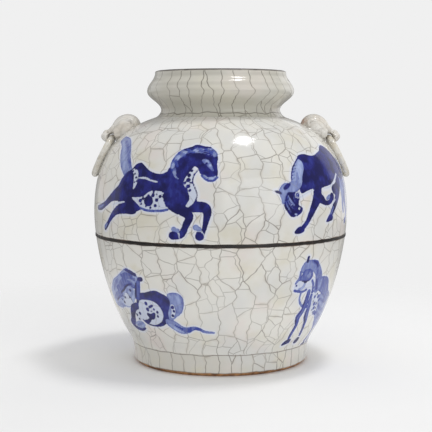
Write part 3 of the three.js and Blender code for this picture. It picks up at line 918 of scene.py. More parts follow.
GRAZING = [
    (0.35, stroke, [(130, 62, 2.4), (137, 54, 3.4), (140, 42, 3.6), (141, 30, 2.6),
        (139, 20, 1.2)]),
    (0.8, stroke, [(127, 48, 5.5), (130, 40, 3.4), (127, 32, 2.6), (130, 23, 2), (131, 16, 1.9),
        (127, 13, 1.9)]),
    (0.45, stroke, [(119, 46, 2.4), (121.5, 40, 3), (122, 33, 2.6), (121, 26, 1.8), (122, 21, 1)]),
    (INK, fill, [(69, 69), (75, 70), (82, 68.6), (88, 68.5), (94, 70.5), (100, 72.5), (105, 76),
        (110, 77.5), (116, 76), (122, 71.5), (128, 65), (132.5, 57), (133, 50), (128, 46.5),
        (121, 48.5), (114, 51), (108, 47), (101, 44), (94, 42.8), (88, 42), (82, 40), (76.5, 41.4),
        (70, 40.2), (64, 38.4), (62, 43), (64, 49), (68, 57), (69, 62), (66, 66)]),
    (INK, stroke, [(81, 42, 5), (80, 35, 4.8), (76, 28.5, 3.6), (71.5, 21.5, 2.6), (68, 16, 2),
        (64.5, 12.5, 2)]),
    (INK, fill, [(56.5, 8.7), (60, 13), (65.2, 13), (65.5, 9.5), (61, 7.6)]),
    (INK, stroke, [(85, 33, 3.6), (90, 29.8, 2), (96, 30.4, 2), (99, 33, 2.6)]),
    (INK, dots, [(99.6, 34, 3.2)]),
    (0.5, stroke, [(92, 33.2, 0.8), (95.5, 34.4, 1.4)]),
    (INK, stroke, [(115, 46, 4.4), (112, 40, 4.4), (108, 33, 3.4), (102.5, 26.5, 2.7),
        (98, 21.5, 2.2)]),
    (INK, fill, [(100.5, 40.2), (102, 42.8), (108, 44.6), (115, 48), (118, 44), (113, 37),
        (108, 34), (104, 36), (101.5, 38)]),
    (0.7, stroke, [(101, 26, 0.8), (98, 22, 1), (95, 19, 1.2)]),
    (INK, fill, [(90, 15.2), (94, 20), (99, 19.5), (99.6, 16.4), (95, 15)]),
    (0.22, fill, [(56.3, 48), (57, 54), (59, 58.7), (63, 62.7), (66.5, 66), (70.3, 63), (70, 58),
        (67, 52), (64.5, 45), (60, 43.5), (56, 44)]),
    (0.5, fill, [(44, 40.5), (46, 44), (49, 46.3), (53, 46.6), (57, 48), (62, 46.5), (64, 44),
        (60, 41), (54, 39), (50, 37), (47, 31), (45.6, 36)]),
    (INK, stroke, [(40.7, 41, 0.6), (43, 40.3, 1.2), (45.4, 39.2, 0.8)],
        [(49.3, 43, 1.4), (52, 45, 1.6), (53.6, 46, 0.7)],
        [(55.6, 48.6, 0.5), (56.5, 53, 0.5), (58.7, 58.2, 0.5), (62, 62, 0.5), (66, 65.7, 0.5)],
        [(56, 49.6, 0.3), (59, 50.6, 0.25)], [(56.2, 52.2, 0.3), (59.4, 53.2, 0.25)],
        [(57.2, 54.8, 0.3), (60.4, 55.8, 0.25)], [(58.8, 57.4, 0.3), (62, 58.2, 0.25)],
        [(61, 60, 0.3), (63.8, 60.6, 0.25)]),
    (0.1, stroke, [(62, 50, 0.8), (65, 56, 1.2), (67.5, 61.5, 1.1)]),
    (0.6, stroke, [(60, 45, 0.5), (61.5, 49.5, 0.6), (62, 54, 0.5)]),
    (INK, fill, [(51, 39.5), (56, 39.6), (60, 40.5), (62.5, 38), (61, 33.5), (60.5, 30),
        (63.8, 27.7), (63.6, 25), (61, 22.5), (56, 20.8), (53, 21.5), (50, 25), (47.5, 29.5),
        (48.5, 34)]),
    (0.5, stroke, [(51, 37.5, 0.5), (53, 34, 0.8), (56.5, 29.6, 0.6)]),
    (0.6, stroke, [(49, 33, 0.5), (50.5, 29, 0.6), (53, 25, 0.5)]),
    (0.75, stroke, [(50.4, 36, 0.4), (52, 31.4, 0.5), (55, 27.6, 0.4)]),
    (0.7, stroke, [(55.6, 36.4, 0.3), (57, 33.2, 0.4)]),
    (0.05, stroke, [(56.6, 23, 0.5), (58.2, 22.6, 0.8)]),
    (BARE, dots, [(60.8, 27, 0.8), (53.4, 30.4, 0.5), (50.6, 33.4, 0.5)]),
    (BARE, stroke, [(62.5, 35.6, 0.8), (67, 37.8, 0.7), (72, 39.5, 0.7), (76.5, 40.4, 0.5)]),
    (BARE, dots, [(59.8, 37.3, 2.3)]),
    (INK, dots, [(59.8, 37.3, 1.6)]),
    (0.2, dots, [(59.5, 37.6, 0.6)]),
    (BARE, stroke, [(89, 41.2, 0.5), (96, 41.6, 0.8), (103, 44, 0.9), (109, 47.2, 1.1),
        (115, 51.6, 0.8)], [(97, 26.5, 0.5), (101, 29.3, 0.7), (105, 31.8, 0.5)]),
]
RESTING = [
    (0.35, fill, [(-83, -21.8), (-77, -23.5), (-71, -27.5), (-69.5, -32), (-73, -38), (-80, -37),
        (-87, -38), (-94, -42), (-101, -47), (-108, -51), (-116, -52), (-119, -46), (-114, -39.5),
        (-107, -34), (-98, -30), (-90, -25.5)]),
    (0.3, fill, [(-104, -46), (-110, -41), (-118, -42), (-122, -48), (-121, -56), (-112, -58),
        (-103, -57), (-100, -52)]),
    (INK, stroke, [(-73, -26, 1.4), (-79, -24, 1.6), (-84, -22.8, 1.1)]),
    (0.95, stroke, [(-78, -27.5, 1.2), (-84, -26.5, 1.2), (-91, -28.5, 1)]),
    (0.85, stroke, [(-75, -30, 0.8), (-83, -29, 1), (-91, -32, 0.9), (-98, -36, 0.6)]),
    (0.8, stroke, [(-80, -34, 1.4), (-88, -34.5, 1.4), (-96, -39.5, 1.6), (-104, -45, 1.2)]),
    (0.7, stroke, [(-99, -33, 0.8), (-107, -38, 1), (-113, -43, 0.8)]),
    (INK, stroke, [(-69.5, -29.5, 2), (-67.3, -29, 1.9)]),
    (INK, fill, [(-79, -50), (-76, -45), (-73, -41.3), (-66, -40), (-60, -38.2), (-55, -37.5),
        (-50, -39), (-45, -41.5), (-42.5, -45.5), (-43.5, -50), (-45.5, -56), (-46, -62),
        (-50, -66), (-56, -69), (-63, -70), (-70, -69.5), (-76, -67), (-80, -60)]),
    (0.9, stroke, [(-71, -32, 1.6), (-73.5, -38, 2.4), (-76, -45, 2.6)]),
    (0.12, fill, [(-81, -38), (-88, -38.5), (-93, -42), (-98, -46), (-103, -52), (-98, -55.5),
        (-90, -55), (-84, -51), (-79.5, -46), (-77.5, -41)]),
    (INK, dots, [(-83.3, -39.8, 1.3), (-94, -47, 1.5), (-97.6, -46.5, 1), (-98, -52, 1.3),
        (-101, -50, 0.9)]),
    (0.5, stroke, [(-80.5, -40, 0.6), (-83, -43.5, 0.8), (-86, -47, 0.7), (-87, -50.5, 0.6)]),
    (0.6, stroke, [(-87, -39.5, 0.6), (-90, -43.5, 0.7), (-91, -47, 0.6)]),
    (BARE, fill, [(-76, -50), (-73, -47.3), (-66, -46.3), (-60, -46.8), (-55, -49.5), (-52, -54),
        (-51.5, -59), (-54, -63.5), (-58, -66.5), (-64, -68.5), (-70, -68), (-75, -66), (-78, -62),
        (-78.5, -56)]),
    (INK, stroke, [(-59, -68.5, 0.6), (-55, -67, 1.4), (-51.5, -62.5, 1.2)]),
    (INK, dots, [(-67.5, -49.6, 1.6), (-67.3, -54.8, 1.7), (-60, -54, 1), (-57, -56.3, 1.2),
        (-57.6, -60, 1.1), (-63.5, -56, 0.6)]),
    (INK, stroke, [(-64.3, -52.4, 1.3), (-61, -50.8, 1)],
        [(-68, -59.6, 1.7), (-64, -61, 2.6), (-61, -58.2, 1.4)],
        [(-74, -66.3, 1.5), (-70, -65.6, 1.8), (-66.3, -62.6, 1.2)]),
    (0.38, fill, [(-44, -40.2), (-39, -38.3), (-34, -39), (-31.2, -42), (-30.8, -47), (-32.3, -52),
        (-35, -56), (-38.5, -58.5), (-42, -61), (-46, -62), (-46, -56), (-43.5, -50),
        (-42.5, -45)]),
    (0.6, stroke, [(-41, -39.3, 0.5), (-35.5, -39.2, 0.5), (-32, -42.5, 0.6), (-31.5, -48, 0.6),
        (-34, -54.5, 0.6)]),
    (0.5, stroke, [(-38.5, -41, 0.6), (-36, -45, 0.6), (-35, -50, 0.7), (-37.5, -55, 0.6)]),
    (BARE, stroke, [(-41, -49.5, 2), (-40.5, -54, 2.3), (-42.5, -59, 1.8)]),
    (INK, dots, [(-41, -50.6, 1.5), (-40.3, -54, 1.1), (-42, -58, 1.3)]),
    (0.5, stroke, [(-48, -64, 2.6), (-42, -67, 3.8), (-36, -70.4, 3.3), (-30, -70.5, 2.3),
        (-24, -68.4, 1.3), (-19, -69, 1), (-14, -71.3, 0.8), (-6, -72, 0.5)]),
    (0.95, stroke, [(-41, -67.5, 0.8), (-35, -70.6, 1.3), (-29, -70.4, 1.2), (-24, -68.6, 0.8),
        (-18, -69.5, 0.6)]),
    (0.2, stroke, [(-46, -66.5, 0.6), (-41, -70, 0.8), (-35, -72.8, 0.6)]),
    (BARE, stroke, [(-50, -63, 0.6), (-49, -67, 0.6)]),
    (0.85, stroke, [(-103, -40.5, 1.6), (-95, -38, 2.2), (-88, -34.5, 1.9), (-82, -33.5, 1.6),
        (-77, -36.5, 1.2)]),
    (0.75, stroke, [(-99, -45, 1.8), (-108, -47, 2), (-116, -51, 1.6)]),
    (0.6, stroke, [(-100, -55.5, 0.8), (-108, -55, 1.2), (-116, -56.5, 1)]),
    (BARE, fill, [(-93, -43), (-88, -43), (-85, -46), (-83.5, -50), (-86, -54), (-92, -55.5),
        (-99, -55), (-100, -51.5), (-96, -48)]),
    (BARE, stroke, [(-91, -37.4, 0.4), (-87.5, -36, 0.5)], [(-86, -40, 0.4), (-81.5, -37.4, 0.5)]),
    (INK, dots, [(-94, -47.4, 1.1), (-97.6, -52, 1.2), (-87, -46.6, 0.8), (-83.6, -39.8, 1.1)]),
    (INK, stroke, [(-89, -43, 0.4), (-86, -46, 0.5), (-84, -50, 0.4)],
        [(-80, -34.4, 0.6), (-87, -36.6, 0.9), (-93, -41, 0.9), (-99, -44, 0.6)],
        [(-103, -48, 0.5), (-108, -50, 0.8), (-113, -53, 0.5)],
        [(-74, -33, 0.6), (-76, -39, 1.1), (-78, -45, 1)]),
    (BARE, fill, [(-84, -57), (-79, -56.5), (-77, -62), (-79, -66.5), (-85, -67)]),
    (INK, stroke, [(-80, -53, 2.8), (-86, -56, 3.4), (-89.5, -61, 3.2), (-92.5, -67, 3.2),
        (-96.5, -70.5, 3.2)],
        [(-97, -72, 2), (-92, -74.6, 1.8), (-84, -75.4, 1.4), (-78, -73.2, 0.8)]),
    (0.25, fill, [(-92, -70.5), (-86, -68), (-80, -67.5), (-77, -70), (-82, -73.5), (-88, -73.3)]),
    (INK, dots, [(-83.6, -61.5, 1.2), (-78.6, -59.5, 1.4), (-82, -65, 1)]),
    (0.7, stroke, [(-88, -71.5, 0.5), (-83, -69.6, 0.6), (-79, -68.6, 0.5)]),
]
FOAL = [
    (0.5, fill, [(101, -45), (110, -49), (119, -50.5), (127, -53), (132, -61), (130, -71),
        (123, -77), (115, -75), (108, -69), (104, -64), (102, -56)]),
    (0.75, stroke, [(112, -70, 3.4), (117, -78, 2.4), (116, -86, 1.8), (112, -91, 1.8)]),
    (0.7, stroke, [(126, -70, 3), (129, -79, 2.2), (127, -87, 1.6), (123, -91, 1.6)]),
    (0.85, fill, [(95, -31), (100, -30.5), (105, -31.5), (110, -35), (113, -40), (117, -44.5),
        (124, -48), (129, -51), (122, -53), (114, -51), (106, -46.5), (99, -43), (94.5, -40)]),
    (0.55, fill, [(67, -21), (70, -15.8), (75, -14.5), (82, -15), (86, -17.5), (91, -23), (95, -30),
        (95.5, -38), (92, -43), (88, -41), (87, -33), (85, -27), (81, -23.5), (76, -21.5),
        (70, -24)]),
    (BARE, fill, [(78, -31), (84, -29.5), (87, -35), (89, -42), (94, -42.5), (99, -46), (102, -51),
        (103, -58), (103.5, -64), (97, -62), (91, -58), (84, -60), (80, -54), (79, -44),
        (76, -38)]),
    (INK, stroke, [(73, -11.6, 1.3), (72.5, -14.6, 1.5)]),
    (0.9, stroke, [(79, -15.4, 0.8), (84, -17, 1.3), (86, -20, 0.9)]),
    (0.8, stroke, [(84, -19, 1), (87, -26, 1.3), (89.5, -33, 1.8), (91, -39.5, 1.8)]),
    (0.7, stroke, [(90, -24, 0.7), (93, -30, 0.8), (94, -36, 0.8)]),
    (0.9, fill, [(71, -22.5), (76, -21.7), (80, -24.5), (81, -28), (78, -31), (73, -31.3),
        (70, -30), (67, -30), (69, -26)]),
    (BARE, fill, [(66.8, -30), (72, -31), (76.5, -32.5), (76, -37.5), (72, -40), (66, -39.6),
        (62.3, -36.6), (63, -32.6)]),
    (INK, dots, [(64.6, -34.2, 0.9), (73.3, -32.1, 1.1), (75, -32, 0.8), (66.6, -23, 0.8)]),
    (0.5, dots, [(77, -26.6, 1.4)]),
    (0.9, stroke, [(104, -50, 0.6), (112, -53, 0.9), (124, -56, 0.6)],
        [(104, -56, 0.6), (112, -60, 0.9), (124, -63, 0.6)]),
    (0.8, stroke, [(105, -62, 0.6), (114, -66, 0.9), (124, -70, 0.6)]),
    (0.15, stroke, [(73.6, -33.5, 0.7), (72, -36.5, 0.8), (68, -37.6, 0.6)]),
    (0.75, stroke, [(63.5, -38.2, 0.6), (68, -39.4, 0.6), (73, -40, 0.6), (77, -38.5, 0.5)]),
    (0.6, stroke, [(67, -23, 0.6), (66.5, -28, 0.7), (63.6, -32, 0.6)]),
    (0.75, stroke, [(82, -31.5, 0.7), (84.5, -35, 0.8), (85.5, -39.5, 0.7)]),
    (0.6, stroke, [(71.5, -41, 0.5), (71, -45, 0.5), (73, -49.5, 0.6), (77, -53, 0.6)]),
    (0.9, stroke, [(81, -41, 1.8), (80.6, -50, 2.4), (79.5, -57, 2.4), (76, -63, 2.8),
        (77.3, -70, 1.7), (75.5, -77, 1.5), (74.5, -82, 1.5)]),
    (0.85, stroke, [(86, -48, 1.6), (87, -55, 2), (87.2, -62, 2.8), (89.6, -68, 2),
        (90.5, -75, 1.5), (91, -81, 1.5)]),
    (INK, fill, [(67.6, -89.3), (70, -85.4), (75, -83.5), (78.6, -84), (78.6, -87.6), (73, -89)],
        [(86, -88.6), (87, -85.5), (90, -83.5), (94, -85), (93, -88.5), (89.5, -90)],
        [(100, -96.6), (106, -93.2), (113, -91.6), (116, -94.3), (108, -97)],
        [(117, -95.6), (121, -92.2), (126, -91.4), (127, -94.2), (121, -96.4)]),
    (0.9, dots, [(98, -47, 1.3), (94.6, -53, 1.3), (96.3, -57, 1.2), (101, -50.5, 1),
        (100, -61.6, 1.5), (103, -63, 1.1), (85.8, -41.4, 1), (86, -45, 1.2), (92, -46.6, 0.9),
        (84.3, -50, 0.8), (84, -54, 0.9), (98.5, -53.5, 0.8)]),
    (INK, dots, [(95, -44.6, 0.9), (99.5, -57.5, 0.9), (97, -61, 0.7), (91.6, -50.5, 0.7),
        (102, -54, 0.8), (93.5, -58.5, 0.7)]),
    (BARE, stroke, [(81.6, -45, 0.3), (82, -50, 0.4), (81.2, -56, 0.3)],
        [(78.6, -63, 0.3), (79, -67, 0.4)]),
    (INK, stroke, [(79.2, -42, 0.5), (78.6, -50, 0.9), (77.8, -57, 0.8), (74, -63, 1),
        (76, -70, 0.8), (74.2, -77, 0.8), (73.4, -82, 0.6)],
        [(86, -57, 0.5), (85.4, -62, 0.8), (88.4, -68, 0.9), (89.8, -75, 0.8), (90.6, -81, 0.6)],
        [(80, -15.5, 0.5), (84, -17.4, 0.8), (86, -20.5, 0.6)],
        [(69, -30.4, 0.4), (73.6, -31.6, 0.8), (77.6, -31, 0.5)],
        [(88, -31, 0.5), (89.6, -35, 0.8), (91, -39.6, 0.6)]),
]


def mark_depth(place, shape, points):
    """How deep each place lies in one mark. Places well away from it are simply far off."""
    reach = np.array(points, float)
    wide = REACH + (reach[:, 2].max() if reach.shape[1] > 2 else 0)
    low, high = reach[:, :2].min(0) - wide, reach[:, :2].max(0) + wide
    near = np.all((place > low) & (place < high), axis=1)
    depth = np.full(len(place), FAR_OFF)
    depth[near] = shape(place[near], points)
    return depth


def painted(place, marks):
    """How deep each place lies in the figure, its ink and its wash, and how strong that wash is."""
    figure = np.full(len(place), FAR_OFF)
    ink, wash, strength = figure.copy(), figure.copy(), np.zeros(len(place))
    for tone, shape, *lines in marks:
        washed = BARE < tone < INK
        for depth in (mark_depth(place, shape, points) for points in lines):
            figure = np.maximum(figure, depth)
            ink = np.maximum(ink, depth) if tone == INK else np.minimum(ink, -depth)
            wash = np.maximum(wash, depth) if washed else np.minimum(wash, -depth)
            if washed:
                strength = np.where(depth > -STRENGTH_SPREAD, tone, strength)
    return figure, ink, wash, strength


def paint(half, horses):
    """Paints horses on a half. Each is its marks, how far round it is moved and its facing."""
    spots = places_of(half)
    outer = np.hypot(spots[:, 0], spots[:, 1]) > radius_at(spots[:, 2]) - PAINTED_SKIN
    around = np.arctan2(spots[:, 0], -spots[:, 1]) * ROUND_SCALE
    flat = np.stack([around, rise_at(spots[:, 2])], axis=1)[outer]
    layers = [np.full(len(flat), FAR_OFF) for _ in range(3)] + [np.zeros(len(flat))]
    for marks, shift, side in horses:
        figure, ink, wash, strength = painted((flat - (shift, 0)) * (side, 1), marks)
        layers[3] = np.where(wash > layers[2], strength, layers[3])
        layers[:3] = [np.maximum(old, new) for old, new in zip(layers, (figure, ink, wash))]
    for name, values in zip(("figure", "ink", "wash", "strength"), layers):
        everywhere = np.full(len(spots), 0 if name == "strength" else FAR_OFF, float)
        everywhere[outer] = values
        measured(half, name, everywhere)


paint(upper_half, [(GALLOPING, 0, 1), (GRAZING, 0, 1), (GALLOPING, -281, -1), (GRAZING, 345, -1)])
paint(lower_half, [(RESTING, 0, 1), (FOAL, 0, 1), (RESTING, 187, -1), (FOAL, -125, -1)])

# The lion masks
# Each head is built up from pressed and rolled clay: skull, brows, eyes, nose, muzzle, ears and
# curls, luted on the shoulder. It looks outwards and down, and the ring hangs in its open mouth.
RING_PIVOT = next(Vector(j["pos_m"]) for j in frame["joints"] if j["child"] == "right_ring") / MM
RING_LOW, RING_HIGH = (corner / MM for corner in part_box("right_ring"))
RING_MIDDLE = (RING_LOW + RING_HIGH) / 2
RING_RADIUS = (RING_MIDDLE - RING_PIVOT).length
RING_THICK = (RING_HIGH.y - RING_LOW.y) / 2 - RING_RADIUS
RING_SEGMENTS = 28
ROOM_END = 0.93 * RING_RADIUS
MOUTH_HALF = 12
MOUTH_ROOM = 0.45
MOUTH_LEAST_ROOM = 0.7 * MOUTH_ROOM
MASK_SINK = 1.6
MASK_GRAIN = 0.45 * MM
SHOULDER_TILT = math.radians(47.2)
RING_LEAN = math.atan2(RING_MIDDLE.x - RING_PIVOT.x, RING_PIVOT.z - RING_MIDDLE.z)
SWING_START = SHOULDER_TILT + RING_LEAN - math.pi / 2
SWING = (SWING_START, SWING_START + math.radians(140))
SWEEP_SLICES = 33
SWEEP_STEPS = 30
SWEEP_RING_STEPS = 60
WIPE = 0.5
WIPE_PASSES = 9
# Lumps of clay: centre and half sizes, down the slope, across it and off it. Those off the middle
# line have a twin on the other side.
LUMPS = [
    ((-12.9, 0, -3.6), (13.2, 14.4, 11.7)),
    ((-3.5, 0, 2.4), (8.0, 7.2, 4.8)),
    ((2.4, 0, 3.9), (4.8, 7.7, 4.2)),
    ((1.2, 0, 7.0), (2.9, 3.0, 2.0)),
    ((3.4, 3.6, 5.4), (3.2, 3.2, 3.0)),
    ((-6.8, 5.2, 4.3), (3.6, 4.6, 2.5)),
    ((-4.4, 5.6, 3.4), (2.2, 2.4, 2.2)),
    ((-7.4, 9.6, -1.4), (5.4, 4.0, 4.6)),
]
# Presses of a modelling tool: where, how wide and how deep
PRESSES = [
    ((5.0, 1.9, 8.4), 1.0, 1.0),
    ((-3.4, 6.4, 6.2), 0.9, 0.7),
    ((-0.6, 5.4, 6.2), 1.6, 0.8),
    ((-9.6, 0, 9.4), 1.8, 0.8),
    ((7.0, 0, 3.6), 1.2, 0.7),
    ((1.5, 7.9, 3.4), 1.4, 0.6),
]
# The ears are rolled coils laid in a curl, turning inwards to a hollow
EAR_MIDDLE = Vector((-19.0, 12.0, -3.6))
EAR_ACROSS = Vector((0, -0.2, 0.98)).normalized()
EAR_PIECES = 19
EAR_TURN = np.radians(np.linspace(-70, 270, EAR_PIECES))
EAR_REACH = np.linspace(5.4, 2.0, EAR_PIECES)
EAR_THICK = np.linspace(1.5, 1.0, EAR_PIECES)
# Where the kiln scorched the back of a head, how wide, and how much a fold of the clay darkens,
# with glaze pooling there and painted shade
BURNT_SPOT = (-25, -5, -7)
BURNT_SIZE = (3, 7, 3)
FOLD_GAIN = 22
FOLD_SHADE = 0.8
HAIRS_PER_MM = 2.6
MASK_GLAZE = shade(223, 220, 214)
MASK_GLAZE_WARM = shade(217, 210, 199)
# The colour of glaze pooling in the folds and grooves, with the painted shade there
MASK_POOL_AND_SHADE = shade(150, 143, 130)
BURNT = shade(158, 96, 66)


def twins(items):
    """The items, and the mirror twins of those that lie off the middle line."""
    for (x, y, z), *rest in items:
        yield (x, y, z), *rest
        if y:
            yield (x, -y, z), *rest


def fix_modifiers(piece):
    """Does a piece's modifiers for good, so that it no longer carries them."""
    depsgraph = bpy.context.evaluated_depsgraph_get()
    done = bpy.data.meshes.new_from_object(piece.evaluated_get(depsgraph))
    piece.modifiers.clear()
    piece.data = done


def ring_room(sideways):
    """How far from the swing axis the turning ring reaches, so far to the side of its middle."""
    sideways = np.clip(np.abs(sideways), 0, ROOM_END)
    return RING_RADIUS - np.sqrt(RING_RADIUS**2 - sideways**2) + RING_THICK


def add_ring(shape, pivot, way, thick, steps):
    """A ring of clay that hangs from a pivot on a line across, with its middle the way given."""
    across = Vector((0, 1, 0))
    face = way.cross(across)
    middle = pivot + way * RING_RADIUS
    stand = Matrix((way, face, across)).transposed().to_4x4()
    to_place = Matrix.Translation(pivot * MM) @ stand @ Matrix.Scale(MM, 4)
    circle = {"segments": RING_SEGMENTS, "radius": thick, "matrix": to_place}
    section = bmesh.ops.create_circle(shape, **circle)["verts"]
    edges = list({edge for point in section for edge in point.link_edges})
    bmesh.ops.spin(
        shape, geom=section + edges, cent=middle * MM, axis=face, dvec=(0, 0, 0), angle=math.tau,
        steps=steps, use_merge=True, use_duplicate=False,
    )


def ring_sweep():
    """The space that the ring swings through: a wedge about its axis, with the ring at each end."""
    shape = bmesh.new()
    sides = np.linspace(-MOUTH_HALF, MOUTH_HALF, SWEEP_SLICES)
    rooms = np.concatenate([[0], ring_room(sides) + MOUTH_ROOM, [0]])
    sides = np.concatenate([[-MOUTH_HALF], sides, [MOUTH_HALF]])
    ways = [Vector((math.cos(turn), 0, math.sin(turn))) for turn in SWING]
    corners = [ways[0] * room + Vector((0, side, 0)) for room, side in zip(rooms, sides)]
    profile = shape.faces.new([shape.verts.new(corner * MM) for corner in corners])
    bmesh.ops.spin(
        shape, geom=[profile], cent=(0, 0, 0), axis=(0, -1, 0), dvec=(0, 0, 0),
        angle=SWING[1] - SWING[0], steps=SWEEP_STEPS, use_duplicate=False,
    )
    bmesh.ops.remove_doubles(shape, verts=shape.verts, dist=WELD)
    for way in ways:
        add_ring(shape, Vector(), way, RING_THICK + MOUTH_ROOM, SWEEP_RING_STEPS)
    cutter = mesh_object("ring_sweep", shape)
    run_together(cutter, "joined")
    return cutter


def add_lump(shape, centre, half, fineness):
    to_place = Matrix.Translation(Vector(centre) * MM) @ Matrix.Diagonal(Vector(half) * MM).to_4x4()
    bmesh.ops.create_icosphere(shape, subdivisions=fineness, radius=1, matrix=to_place)


def run_together(piece, name):
    remesh = piece.modifiers.new(name, "REMESH")
    remesh.mode = "VOXEL"
    remesh.voxel_size = MASK_GRAIN


def clay_mass(name):
    """The lumps run together, pierced for the ring, and smoothed as wet fingers leave them."""
    shape = bmesh.new()
    for centre, half in twins(LUMPS):
        add_lump(shape, centre, half, fineness=4)
    for turn, reach, thick in zip(EAR_TURN, EAR_REACH, EAR_THICK):
        way = Vector((1, 0, 0)) * math.cos(turn) + EAR_ACROSS * math.sin(turn)
        spot = EAR_MIDDLE + way * reach
        for centre, half in twins([(tuple(spot), (thick,) * 3)]):
            add_lump(shape, centre, half, fineness=2)
    piece = mesh_object(name, shape)
    cutter = ring_sweep()
    run_together(piece, "joined")
    pierced = piece.modifiers.new("pierced", "BOOLEAN")
    pierced.operation = "DIFFERENCE"
    pierced.object = cutter
    run_together(piece, "wetted")
    smooth = piece.modifiers.new("wiped", "SMOOTH")
    smooth.factor = WIPE
    smooth.iterations = WIPE_PASSES
    fix_modifiers(piece)
    bpy.data.objects.remove(cutter)
    return piece


def worked(piece):
    """Presses the tool marks in, and keeps the mouth free for the ring."""
    spots = places_of(piece)
    normals = read_points(piece, "normal")
    for centre, wide, deep in twins(PRESSES):
        near = np.exp(-np.sum((spots - centre) ** 2, axis=1) / wide**2)
        spots -= normals * (near * deep)[:, None]
    off_axis = np.hypot(spots[:, 0], spots[:, 2])
    way = np.arctan2(spots[:, 2], spots[:, 0])
    swept = (np.abs(spots[:, 1]) < MOUTH_HALF) & (way > SWING[0]) & (way < SWING[1])
    room = np.where(swept, ring_room(spots[:, 1]), RING_THICK) + MOUTH_LEAST_ROOM
    spots[:, [0, 2]] *= np.maximum(room / np.maximum(off_axis, 0.01), 1)[:, None]
    return spots


def crack_gap(recipe, place, size, drift):
    """The distance to a crack where cells of about a size run through the clay, bent by a drift."""
    bent = recipe.vector("ADD", place, recipe.cloud(place, drift, out=1))
    return recipe.cells(bent, "DISTANCE_TO_EDGE", 0, "3D", size) * size


def mask_finish():
    """Glaze pooling in the folds with painted shade there, combed in the mane, cracked, and
    scorched where it was burnt.
    """
    recipe = Recipe("thick_glaze_on_relief")
    place = recipe.place()
    gap = crack_gap(recipe, place, 9.0, 6)
    lines = gap.between(0.05, 0.45, 0.3, 0) * recipe.cloud(place, 12).between(0.35, 0.6)
    across = recipe.axis(place, 1)
    mane = abs(recipe.axis(place, 0)).between(RING_PIVOT.x - 7, RING_PIVOT.x + 1, 1, 0)
    combed = recipe.math("SINE", across * HAIRS_PER_MM + recipe.cloud(place, 9, 2) * 9) * mane
    colour = recipe.coats(
        MASK_GLAZE,
        (recipe.cloud(place, 9, 3).between(0.4, 0.7), MASK_GLAZE_WARM),
        # Painted shade and glaze pooling darken the folds and the comb grooves
        (recipe.kept("hollow"), MASK_POOL_AND_SHADE),
        (combed.between(0.2, 1, 0, 0.2), MASK_POOL_AND_SHADE),
        (recipe.kept("burnt") * recipe.cloud(place, 3, 3).between(0.35, 0.6), BURNT),
        (lines, CRACK),
    )
    relief = recipe.ripple(place, 3, 0.12) - lines * CRACK_DEPTH - combed * 0.1
    return recipe.finish(colour, recipe.cloud(place, 8).between(0.3, 0.7, 0.12, 0.2), relief)


MASK_FINISH = mask_finish()


def hollows(piece):
    """How far each point lies in a hollow of the relief, from 0 to 1."""
    shape = bmesh.new()
    shape.from_mesh(piece.data)
    bend = []
    for point in shape.verts:
        around = [edge.other_vert(point).co for edge in point.link_edges]
        middle = sum(around, Vector()) / max(len(around), 1)
        bend.append((middle - point.co).dot(point.normal) / MM)
    shape.free()
    return np.clip(np.array(bend) * FOLD_GAIN, 0, 1)


def lion_mask(name, node, side, scorch):
    """A mask set on the shoulder at one side of the jar, the back of its head so much scorched."""
    piece = clay_mass(name)
    local = worked(piece)
    across, down = math.cos(SHOULDER_TILT), math.sin(SHOULDER_TILT)
    turn = np.array([[across, 0, down], [0, 1, 0], [-down, 0, across]])
    spots = local @ turn.T + np.array(RING_PIVOT)
    radii = np.hypot(spots[:, 0], spots[:, 1])
    sunk = (radius_at(spots[:, 2]) - radii) * down
    lift = np.maximum(sunk - MASK_SINK, 0)
    spots += lift[:, None] * (turn @ (0, 0, 1))
    spots[:, :2] *= side
    piece.data.vertices.foreach_set("co", (spots * MM).astype(np.float32).ravel())
    piece.data.update()
    # How much each fold darkens, as painted shade and glaze pooling
    measured(piece, "hollow", hollows(piece) * FOLD_SHADE)
    off_spot = np.sum(((local - BURNT_SPOT) / BURNT_SIZE) ** 2, axis=1)
    measured(piece, "burnt", np.exp(-off_spot) * scorch)
    piece.data.shade_smooth()
    settled(piece, MASK_FINISH, "jar", "mask_glaze", node)


lion_mask("right_lion_mask", "right_mask", 1, 1.0)
lion_mask("left_lion_mask", "left_mask", -1, 0.15)

# The loose rings
# Coils of clay rolled by hand, bent through the mouths of the masks while soft and closed to rings.
# They are fired loose, so they swing, and their glaze is thin and straw-coloured in patches.
RING_GLAZE = shade(220, 217, 209)
RING_STRAW = shade(210, 203, 188)
RING_SKIN = 0.05
RING_STEPS = 160
COIL_SWELL = 0.05
COIL_RATE = 0.11
FINGER_SWELL = 0.02
FINGER_RATE = 0.4


def ring_finish():
    """Glaze over the rolled clay, faintly cracked, with patches of straw colour."""
    recipe = Recipe("glaze_on_rolled_clay")
    place = recipe.place()
    lines = crack_gap(recipe, place, 8.0, 5).between(0.05, 0.4, 0.22, 0)
    straw = recipe.cloud(place, 6, 3).between(0.42, 0.66)
    colour = recipe.coats(RING_GLAZE, (straw, RING_STRAW), (lines, CRACK))
    relief = recipe.ripple(place, 2.5, 0.1) - lines * CRACK_DEPTH
    return recipe.finish(colour, lines * 0.2 + 0.13, relief)


RING_FINISH = ring_finish()


